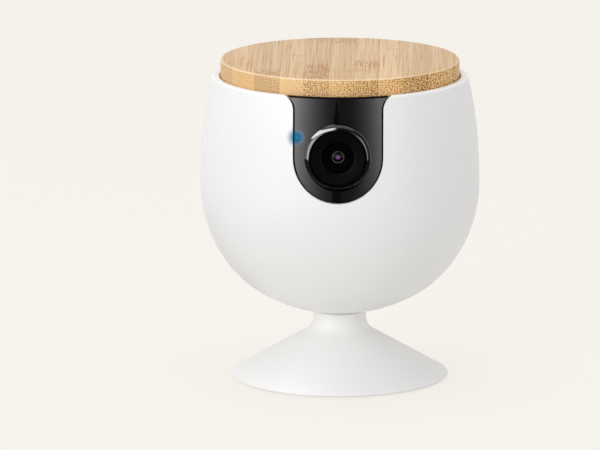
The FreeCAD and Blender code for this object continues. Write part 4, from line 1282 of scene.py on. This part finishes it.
    def build_panel(self, bezel_tool: bpy.types.Object) -> bpy.types.Object:
        """Cut the glossy tongue and the flange behind it from turned rings.

        Args:
            bezel_tool: cylinder on the lens axis that makes the bezel's hole.

        Returns:
            The finished panel.
        """
        flange_width, flange_gap, flange_thickness = self.flange
        low = self.notch.centre - self.notch.width / 2 - flange_width - MM
        high = self.ledge_bottom - self.panel_clear
        top = top_of("lens_panel")
        lid_side = self.lid_radius + self.panel_clear
        face = self.skin.outline(self.front.panel_recess, low, top - self.panel_chamfer,
                                 self.panel_spacing)
        face.append((face[-1][0] - self.panel_chamfer, top))
        edge = self.skin.outline(self.wall + flange_gap, low, high)
        back = self.skin.outline(self.wall + flange_gap + flange_thickness, low, high)[::-1]
        tongue = self.notch_slice("front_panel", face + [(lid_side, top), (lid_side, high)] + back,
                                  self.panel_gap, self.panel_steps)
        flange = self.notch_slice("flange", edge + back, -flange_width, self.flange_steps)
        Bench.carve(tongue, flange, "UNION")
        Bench.carve(tongue, bezel_tool)
        Bench.carve(tongue, self.light_bar("light_tool", self.light_radius + self.light_fit))
        Bench.smooth(tongue, self.panel_smooth)
        hand_over(tongue, Body.HEAD, Finish.PANEL, self.finishes.panel, "lens_panel")
        # The upward faces get the dull black that paints the shade under the lid.
        Bench.paint_top(tongue, self.finishes.panel_top_shade)
        return tongue


@dataclass
class Lens:
    """Bezel, hood, barrel and front glass, turned about the lens axis; height 0 is the bezel's face."""

    finishes: Finishes
    front: Front
    steps: int = 128
    hole_gap: float = 0.05 * MM
    hole_length: float = 32.0 * MM
    bezel_radius: float = 11.6 * MM
    bezel_round: float = 1.35 * MM
    bezel_lip: float = 0.15 * MM
    bezel_depth: float = 9.4 * MM
    nose: Point = (radians(56.0), radians(19.0))
    nose_steps: int = 10
    nose_smooth: float = 20.0
    hood_gap: float = 0.15 * MM
    hood_ease: float = 0.1 * MM
    groove: Place = (9.45 * MM, 0.5 * MM, 0.5 * MM)
    well_radius: float = 5.4 * MM
    well_mouth: tuple[Point, ...] = ((0.55 * MM, 0.3 * MM), (0.2 * MM, 0.42 * MM), (0.0, 0.8 * MM))
    fit: float = 0.05 * MM
    barrel_radius: float = 6.0 * MM
    barrel_length: float = 15.0 * MM
    barrel_step: float = 0.3 * MM
    barrel_chamfer: float = 0.25 * MM
    dish: Place = (1.6 * MM, 1.2 * MM, 0.6 * MM)
    bore_chamfer: float = 0.15 * MM
    bore_depth: float = 3.4 * MM
    glass_radius: float = 2.15 * MM
    glass_bulge: float = 0.55 * MM
    glass_steps: int = 10

    def on_axis(self, piece: bpy.types.Object) -> bpy.types.Object:
        """Move a piece made along Z onto the lens axis.

        Args:
            piece: the piece.

        Returns:
            The same piece.
        """
        piece.matrix_world = self.front.lens_axis @ piece.matrix_world
        Bench.settle(piece)
        return piece

    def turn(self, name: str, outline: list[Point], smooth: float = SMOOTH_UNDER) -> bpy.types.Object:
        """Turn a piece about the lens axis.

        Args:
            name: name of the new piece.
            outline: its (radius, height) corners.
            smooth: angle in degrees under which its edges are shaded smooth.

        Returns:
            The piece, in its place.
        """
        piece = self.on_axis(Bench.lathe(name, outline, self.steps))
        Bench.smooth(piece, smooth)
        return piece

    def hole(self) -> bpy.types.Object:
        """Tool for the bezel's hole in the panel.

        Returns:
            The cylinder.
        """
        Bench.clear()
        bpy.ops.mesh.primitive_cylinder_add(vertices=self.steps, radius=self.bezel_radius + self.hole_gap,
                                            depth=self.hole_length)
        return self.on_axis(bpy.context.object)

    def build_bezel(self) -> bpy.types.Object:
        """Turn the ring with its rounded front edge.

        Returns:
            The finished ring.
        """
        inner = self.bezel_radius - self.bezel_round - self.bezel_lip
        first, last = self.nose
        reach = self.bezel_round / (sqrt(2) * sin((first - last) / 2))
        back = [(inner, -self.bezel_depth), (self.bezel_radius, -self.bezel_depth)]
        nose = [(self.bezel_radius - reach * (sin(first) - sin(tilt)),
                 reach * (cos(tilt) - cos(first)) - self.bezel_round)
                for tilt in turns_between(first, last, self.nose_steps)]
        ring = self.turn("lens_ring", back + nose + [(inner, 0.0)], self.nose_smooth)
        return hand_over(ring, Body.HEAD, Finish.TRIM, self.finishes.bezel, "lens_bezel")

    def build_hood(self) -> bpy.types.Object:
        """Turn the hood with its ring groove and rounded mouth.

        Returns:
            The finished hood.
        """
        outer = self.bezel_radius - self.bezel_round - self.bezel_lip - self.hood_gap
        middle, width, depth = self.groove
        face = self.front.hood_face
        hood = self.turn("light_hood", [
            (self.well_radius, -self.bezel_depth), (outer, -self.bezel_depth), (outer, face - self.hood_ease),
            (outer - self.hood_ease, face), (middle + width / 2, face), (middle + width / 2, face - depth),
            (middle - width / 2, face - depth), (middle - width / 2, face)]
            + [(self.well_radius + beyond, face - below) for beyond, below in self.well_mouth])
        return hand_over(hood, Body.HEAD, Finish.MATT, self.finishes.hood, "lens_hood")

    def build_barrel(self) -> bpy.types.Object:
        """Turn the barrel with its dished face.

        Returns:
            The finished barrel.
        """
        face = self.front.barrel_face
        end = face - self.barrel_length
        side = self.well_radius - self.fit
        step = -self.bezel_depth - self.barrel_step
        bore = self.glass_radius + self.fit
        dish_top, dish_foot, dish_depth = self.dish
        barrel = self.turn("lens_tube", [
            (0.0, end), (self.barrel_radius, end), (self.barrel_radius, step), (side, step),
            (side, face - self.barrel_chamfer), (side - self.barrel_chamfer, face),
            (self.glass_radius + dish_top, face), (self.glass_radius + dish_foot, face - dish_depth),
            (bore + self.bore_chamfer, face - dish_depth), (bore, face - dish_depth - self.bore_chamfer),
            (bore, face - self.bore_depth), (0.0, face - self.bore_depth)])
        return hand_over(barrel, Body.HEAD, Finish.BARREL, self.finishes.barrel, "lens_barrel")

    def build_glass(self) -> bpy.types.Object:
        """Turn the domed front glass.

        Returns:
            The finished glass.
        """
        top = self.front.glass_edge + self.glass_bulge
        ball = (self.glass_radius ** 2 + self.glass_bulge ** 2) / (2 * self.glass_bulge)
        spread = asin(self.glass_radius / ball)
        dome = [(ball * sin(turn), top - ball * (1 - cos(turn)))
                for turn in turns_between(spread, 0.0, self.glass_steps)]
        back = self.front.barrel_face - self.bore_depth + self.fit
        glass = self.turn("lens_front", [(0.0, back), (self.glass_radius, back)] + dome)
        return hand_over(glass, Body.HEAD, Finish.GLASS, self.finishes.glass, "front_lens")


@dataclass
class Base:
    """Conical cover with its neck and the cable recess."""

    finishes: Finishes
    radius: float = 38.2 * MM
    edge: float = 0.6 * MM
    cone_foot: float = 1.2 * MM
    tip: float = 0.2 * MM
    foot_ease: Point = (0.15 * MM, 0.1 * MM)
    slope: float = radians(30.0)
    neck_radius: float = 9.3 * MM
    blend: float = 6.0 * MM
    blend_steps: int = 12
    wall: float = 2.2 * MM
    washer_seat: float = 0.7 * MM
    bore: float = 6.3 * MM
    post_gap: float = 0.5 * MM
    plate_seat: float = 34.15 * MM
    plate_thickness: float = 1.6 * MM
    flange_seat: float = 10.62 * MM
    button_hole: float = 1.6 * MM
    button_drill: float = 12.0 * MM
    socket_fit: float = 0.15 * MM
    inlet_face: float = 24.0 * MM
    inlet_floor: float = 3.0 * MM
    inlet_width: float = 23.0 * MM
    inlet_top: float = 20.0 * MM
    inlet_trim: float = 1.5 * MM
    inlet_trim_steps: int = 96
    inlet_overrun: float = 2.0 * MM
    socket_overrun: float = 1.0 * MM
    steps: int = 192

    @property
    def rise(self) -> float:
        """Climb of the cone for each unit of its radius."""
        return tan(self.slope)

    @property
    def apex(self) -> float:
        """Height at which the cone's side would meet the axis."""
        return self.cone_foot + self.radius * self.rise

    @property
    def plate_top(self) -> float:
        """Height of the top of the metal plate."""
        return foot_of("base_plate") + self.plate_thickness

    def hollow(self) -> list[Point]:
        """Hollow blend from the cone up to the neck.

        Returns:
            (radius, height) points.
        """
        middle = self.blend / cos(self.slope) + self.apex - (self.neck_radius + self.blend) * self.rise
        return [(self.neck_radius + self.blend * (1 - cos(turn)), middle - self.blend * sin(turn))
                for turn in turns_between(QUARTER_TURN - self.slope, 0.0, self.blend_steps)]

    def outline(self) -> list[Point]:
        """Section of the cover: up its outside, over the neck and back down its inside.

        Returns:
            (radius, height) corners.
        """
        seat = foot_of("thrust_washer")
        neck_top = top_of("base_cover")
        shoulder = self.neck_radius - self.washer_seat
        inner_apex = self.apex - self.wall / cos(self.slope)
        post = half_width_of("pivot_post") + self.post_gap
        ease, drop = self.foot_ease
        outside = [(self.plate_seat, self.edge), (self.radius - self.tip, self.edge),
                   (self.radius, self.edge + self.tip), (self.radius, self.cone_foot - drop),
                   (self.radius - ease, self.cone_foot + drop)]
        neck = [(self.neck_radius, neck_top - self.tip), (self.neck_radius - self.tip, neck_top),
                (shoulder, neck_top), (shoulder, seat), (self.bore, seat), (self.bore, self.flange_seat)]
        inside = [(post, self.flange_seat), (post, inner_apex - post * self.rise),
                  ((inner_apex - self.plate_top) / self.rise, self.plate_top),
                  (self.plate_seat, self.plate_top)]
        return outside + self.hollow() + neck + inside

    def recess_wall(self) -> bpy.types.Object:
        """Wall round the cable recess, trimmed to the inside of the cone.

        Returns:
            The wall.
        """
        half = self.inlet_width / 2 + self.wall
        wall = Bench.box("recess_wall", Vector((-half, self.inlet_face - self.wall, self.plate_top)),
                         Vector((half, self.radius, self.inlet_top)))
        reach = self.radius - self.inlet_trim
        inside = Bench.lathe("wall_trim", [(0.0, self.plate_top), (reach, self.plate_top),
                                           (0.0, self.plate_top + reach * self.rise)], self.inlet_trim_steps)
        Bench.carve(wall, inside, "INTERSECT")
        return wall

    def build_cover(self) -> bpy.types.Object:
        """Turn the cover and cut the recess, the socket hole and the button hole.

        Returns:
            The finished cover.
        """
        cover = Bench.lathe("cone_cover", self.outline(), self.steps)
        Bench.carve(cover, self.recess_wall(), "UNION")
        half = self.inlet_width / 2
        Bench.carve(cover, Bench.box("recess_tool", Vector((-half, self.inlet_face, self.inlet_floor)),
                                     Vector((half, self.radius + self.inlet_overrun, self.inlet_top))))
        low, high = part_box("usb_socket")
        spare = Vector((self.socket_fit, 0.0, self.socket_fit))
        beyond = Vector((0.0, self.socket_overrun, 0.0))
        Bench.carve(cover, Bench.box("socket_tool", low - spare, high + spare + beyond))
        low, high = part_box("reset_button")
        middle = Vector(((low.x + high.x) / 2, self.inlet_face, (low.z + high.z) / 2))
        Bench.carve(cover, Bench.rod("button_tool", self.button_hole, self.button_drill, middle))
        Bench.smooth(cover)
        return hand_over(cover, Body.BASE, Finish.WHITE, self.finishes.base, "base_cover")


@dataclass(frozen=True)
class Softbox:
    """One square studio lamp aimed at the object."""

    name: str
    place: Place
    size: Point
    brightness: float
    in_gloss: bool = True

    def build(self, aim: Vector) -> bpy.types.Object:
        """Add the lamp.

        Args:
            aim: point that it faces.

        Returns:
            The lamp.
        """
        data = bpy.data.lights.new(self.name, "AREA")
        data.shape = "RECTANGLE"
        data.size, data.size_y = self.size
        data.energy = self.brightness * pi * self.size[0] * self.size[1]
        lamp = bpy.data.objects.new(self.name, data)
        lamp.location = self.place
        lamp.rotation_mode = "QUATERNION"
        lamp.rotation_quaternion = (aim - Vector(self.place)).to_track_quat("-Z", "Y")
        lamp.visible_camera = False
        lamp.visible_glossy = self.in_gloss
        bpy.context.collection.objects.link(lamp)
        return lamp


@dataclass(frozen=True)
class ReflectionCard:
    """Curved card and dark floor round the object's front, which only glossy reflections see.

    The card is dark in the middle and brighter towards its sides, with a black strip where the camera
    stands and two bright fields for the edges of the gloss. Angles are in degrees round the object, from
    the front towards the right of the picture.
    """

    radius: float = 0.36
    height: float = 0.55
    left_end: float = 135.0
    right_end: float = 80.0
    steps: int = 96
    floor_start: float = 0.05
    floor_height: float = 1.0 * MM
    floor_margin: float = 1.5
    floor_level: float = 0.06
    left_level: Place = (0.2, 4.3, 2.3)
    right_level: Place = (0.1, 2.35, 3.0)
    left_reach: float = 36.0
    right_reach: float = 33.0
    most: float = 1.05
    side_change: Point = (-2.0, 2.0)
    strip_middle: float = -1.9
    strip_edge: Point = (-0.3, 0.5)
    strip_low: Point = (-6.67, 3.29)
    strip_high: Point = (-54.0, 11.2)
    right_cut: Fade = (42.0, 45.0, 1.0, 0.08)
    high_cut: Fade = (0.20, 0.26, 1.0, 0.1)
    far_left_dim: Fade = (-75.0, -48.0, 0.2, 1.0)
    field_heights: Point = (0.24, 0.30)
    left_field: float = 10.0
    left_field_start: Point = (-3.0, -12.0)
    left_field_end: Fade = (-105.0, -82.0, 0.05, 1.0)
    right_field: float = 0.1
    right_field_start: Point = (25.0, 45.0)
    right_edge: Point = (52.0, 62.0)

    def build(self) -> bpy.types.Object:
        """Bend the card and hide it from all but glossy rays.

        Returns:
            The card.
        """
        outwards = Vector((sin(radians(self.right_end)), -cos(radians(self.right_end)), 0.0))
        edge = outwards * self.radius
        lift = Vector((0.0, 0.0, self.floor_height))
        start = outwards * self.floor_start + lift
        card = Bench.start_point("reflection_card", start)
        Bench.draw([start, edge + lift, edge + Vector((0.0, 0.0, self.height))])
        bpy.ops.mesh.select_all(action="SELECT")
        bpy.ops.mesh.spin(steps=self.steps, angle=radians(self.left_end + self.right_end), center=(0, 0, 0),
                          axis=(0, 0, 1))
        bpy.ops.object.mode_set(mode="OBJECT")
        card.data.materials.append(self.material())
        card.visible_camera = False
        card.visible_diffuse = False
        card.visible_shadow = False
        card.visible_transmission = False
        return card

    def sides(self, nodes: Nodes, angle: bpy.types.NodeSocket) -> bpy.types.NodeSocket:
        """Level of the two sides, dark in the middle and rising outwards.

        Args:
            nodes: the tree's nodes.
            angle: angle round the object.

        Returns:
            The level.
        """
        levels = []
        for (floor, rise, power), span in ((self.left_level, self.left_reach),
                                           (self.right_level, self.right_reach)):
            part = nodes.math("DIVIDE", nodes.math("ABSOLUTE", angle), span)
            part = nodes.math("POWER", nodes.math("MINIMUM", part, self.most), power)
            levels.append(nodes.math("MULTIPLY_ADD", part, rise, floor))
        on_right = nodes.fade(angle, *self.side_change)
        return nodes.math("MULTIPLY_ADD", nodes.math("SUBTRACT", levels[1], levels[0]), on_right, levels[0])

    def beside_strip(self, nodes: Nodes, angle: bpy.types.NodeSocket, z: bpy.types.NodeSocket
                     ) -> bpy.types.NodeSocket:
        """Mask that is 0 on the black strip, which widens downwards.

        Args:
            nodes: the tree's nodes.
            angle: angle round the object.
            z: height.

        Returns:
            The mask.
        """
        low_half = nodes.math("MULTIPLY_ADD", z, *self.strip_low)
        high_half = nodes.math("MULTIPLY_ADD", z, *self.strip_high)
        half = nodes.math("MAXIMUM", nodes.math("MINIMUM", low_half, high_half), 0.0)
        away = nodes.math("ABSOLUTE", nodes.math("SUBTRACT", angle, self.strip_middle))
        return nodes.fade(nodes.math("SUBTRACT", away, half), *self.strip_edge)

    def fields(self, nodes: Nodes, angle: bpy.types.NodeSocket, z: bpy.types.NodeSocket
               ) -> bpy.types.NodeSocket:
        """Level of the two fields high up at the sides.

        Args:
            nodes: the tree's nodes.
            angle: angle round the object.
            z: height.

        Returns:
            The level.
        """
        above = nodes.fade(z, *self.field_heights)
        left = nodes.math("MULTIPLY", above, nodes.fade(angle, *self.left_field_start))
        left = nodes.math("MULTIPLY", left, nodes.fade(angle, *self.left_field_end))
        right = nodes.math("MULTIPLY", above, nodes.fade(angle, *self.right_field_start))
        right = nodes.math("MAXIMUM", right, nodes.fade(angle, *self.right_edge))
        return nodes.math("MAXIMUM", nodes.math("MULTIPLY", left, self.left_field),
                          nodes.math("MULTIPLY", right, self.right_field))

    def material(self) -> bpy.types.Material:
        """Make the card's glow.

        Returns:
            An emission that changes with the angle round the object and with height.
        """
        look, nodes = bare_material("reflection_card")
        x, y, z = nodes.split(nodes.place())
        turn = nodes.math("ARCTAN2", x, nodes.math("MULTIPLY", y, -1.0))
        angle = nodes.math("MULTIPLY", turn, degrees(1.0))
        level = self.sides(nodes, angle)
        for mask in (self.beside_strip(nodes, angle, z), nodes.fade(angle, *self.right_cut),
                     nodes.fade(z, *self.high_cut), nodes.fade(angle, *self.far_left_dim)):
            level = nodes.math("MULTIPLY", level, mask)
        level = nodes.math("MAXIMUM", level, self.fields(nodes, angle, z))
        on_floor = nodes.math("LESS_THAN", z, self.floor_margin * self.floor_height)
        level = nodes.math("MULTIPLY_ADD", nodes.math("SUBTRACT", self.floor_level, level), on_floor, level)
        glow = nodes.add("ShaderNodeEmission", Color=full((1.0, 1.0, 1.0)), Strength=level)
        nodes.add("ShaderNodeOutputMaterial", Surface=glow.outputs[0])
        return look


def seen_rays(nodes: Nodes) -> bpy.types.NodeSocket:
    """Mask of the camera's rays and of those that reflect or pass into it.

    Args:
        nodes: the tree's nodes.

    Returns:
        The mask.
    """
    paths = nodes.add("ShaderNodeLightPath").outputs
    bounced = nodes.math("MAXIMUM", paths["Is Glossy Ray"], paths["Is Transmission Ray"])
    return nodes.math("MAXIMUM", paths["Is Camera Ray"], bounced)


@dataclass
class Studio:
    """Pale floor, soft lamps, the card that the gloss reflects, and the camera."""

    cream: Colour = (0.913, 0.888, 0.838)
    floor_colour: Colour = (0.80, 0.77, 0.72)
    floor_glow: float = 1.055
    floor_plain: float = 0.8
    floor_size: float = 16.0
    floor_drop: float = 0.1 * MM
    air: Colour = (0.59, 0.595, 0.61)
    lamp_aim: Place = (0.0, 0.0, 0.07)
    azimuth: float = radians(1.15)
    pitch: float = radians(11.6)
    distance: float = 2.45
    lens: float = 419.8
    sensor: float = 36.0
    picture: tuple[int, int] = (600, 450)
    lid_centre_px: Point = (340.0, 58.2)

    def backdrop_material(self) -> bpy.types.Material:
        """Cream that the camera and the reflections see as it is, and that still takes a shadow.

        Returns:
            The floor's material.
        """
        look, nodes = bare_material("cream_floor")
        lit = nodes.add("ShaderNodeBsdfDiffuse", Color=full(self.floor_colour))
        plain = nodes.add("ShaderNodeEmission", Color=full(self.cream), Strength=self.floor_glow)
        share = nodes.math("MULTIPLY", seen_rays(nodes), self.floor_plain)
        mixed = nodes.add("ShaderNodeMixShader", i0=share, i1=lit.outputs[0], i2=plain.outputs[0])
        nodes.add("ShaderNodeOutputMaterial", Surface=mixed.outputs[0])
        return look

    def build_floor(self) -> None:
        """Lay the floor a hair under the feet."""
        Bench.clear()
        bpy.ops.mesh.primitive_plane_add(size=self.floor_size, location=(0, 0, -self.floor_drop))
        floor = bpy.context.object
        floor.name = "floor"
        floor.data.materials.append(self.backdrop_material())

    def build_world(self) -> None:
        """Cream for the camera and reflections, plain grey light for the rest."""
        world = bpy.data.worlds.new("studio")
        bpy.context.scene.world = world
        world.use_nodes = True
        world.node_tree.nodes.clear()
        nodes = Nodes(world.node_tree)
        colour = nodes.mix(seen_rays(nodes), full(self.air), full(self.cream))
        ground = nodes.add("ShaderNodeBackground", Color=colour, Strength=1.0)
        nodes.add("ShaderNodeOutputWorld", Surface=ground.outputs[0])

    def build_lamps(self) -> None:
        """Hang the lamps."""
        for lamp in (
            Softbox("left_softbox", place=(-1.1, -1.3, 0.55), size=(1.1, 1.1), brightness=2.6),
            Softbox("right_softbox", place=(1.45, -0.9, 0.5), size=(0.9, 1.1), brightness=0.84,
                    in_gloss=False),
            Softbox("top_softbox", place=(-0.1, 0.1, 1.6), size=(1.2, 1.2), brightness=1.9,
                    in_gloss=False),
        ):
            lamp.build(Vector(self.lamp_aim))

    def build_camera(self) -> None:
        """Aim the camera so that the lid's centre falls on its place in the photograph."""
        data = bpy.data.cameras.new("camera")
        data.sensor_width = self.sensor
        data.lens = self.lens
        camera = bpy.data.objects.new("camera", data)
        level = cos(self.pitch)
        forward = Vector((-sin(self.azimuth) * level, cos(self.azimuth) * level, -sin(self.pitch)))
        right = Vector((cos(self.azimuth), sin(self.azimuth), 0.0))
        up = right.cross(forward)
        pixel = self.distance * self.sensor / (self.lens * self.picture[0])
        across = (self.lid_centre_px[0] - self.picture[0] / 2) * pixel
        above = (self.picture[1] / 2 - self.lid_centre_px[1]) * pixel
        lid = Vector((0.0, 0.0, top_of("bamboo_lid")))
        camera.location = lid - forward * self.distance - right * across - up * above
        camera.rotation_mode = "QUATERNION"
        camera.rotation_quaternion = forward.to_track_quat("-Z", "Y")
        bpy.context.collection.objects.link(camera)
        bpy.context.scene.camera = camera

    def build(self) -> None:
        """Set the whole stage."""
        self.build_floor()
        self.build_world()
        ReflectionCard().build()
        self.build_lamps()
        self.build_camera()
        bpy.context.scene.view_settings.view_transform = "Standard"


def dress_cad_nodes() -> None:
    """Give the CAD nodes that stay visible their finishes."""
    looks = {
        slot["slot"]: Moulding("cad_" + slot["slot"], tuple(slot["base_color"][:3]), roughness=0.35,
                               metallic=float(slot["class"] in METAL_CLASSES)).material()
        for slot in frame["record"]["materials"]
    }
    for subpart in frame["record"]["subparts"]:
        for holder in frame["nodes"][subpart["node"]].material_slots:
            holder.material = looks[subpart["material_slot"]]


def main() -> None:
    """Build the object and its stage."""
    logging.basicConfig(level=logging.INFO, format="%(message)s")
    dress_cad_nodes()
    front = Front()
    finishes = make_finishes(front)
    head = Head(finishes, front)
    lens = Lens(finishes, front)
    head.build_shell()
    head.build_light()
    head.build_lid()
    head.build_panel(lens.hole())
    lens.build_bezel()
    lens.build_hood()
    lens.build_barrel()
    lens.build_glass()
    Base(finishes).build_cover()
    Studio().build()


if __name__ == "__main__":
    main()
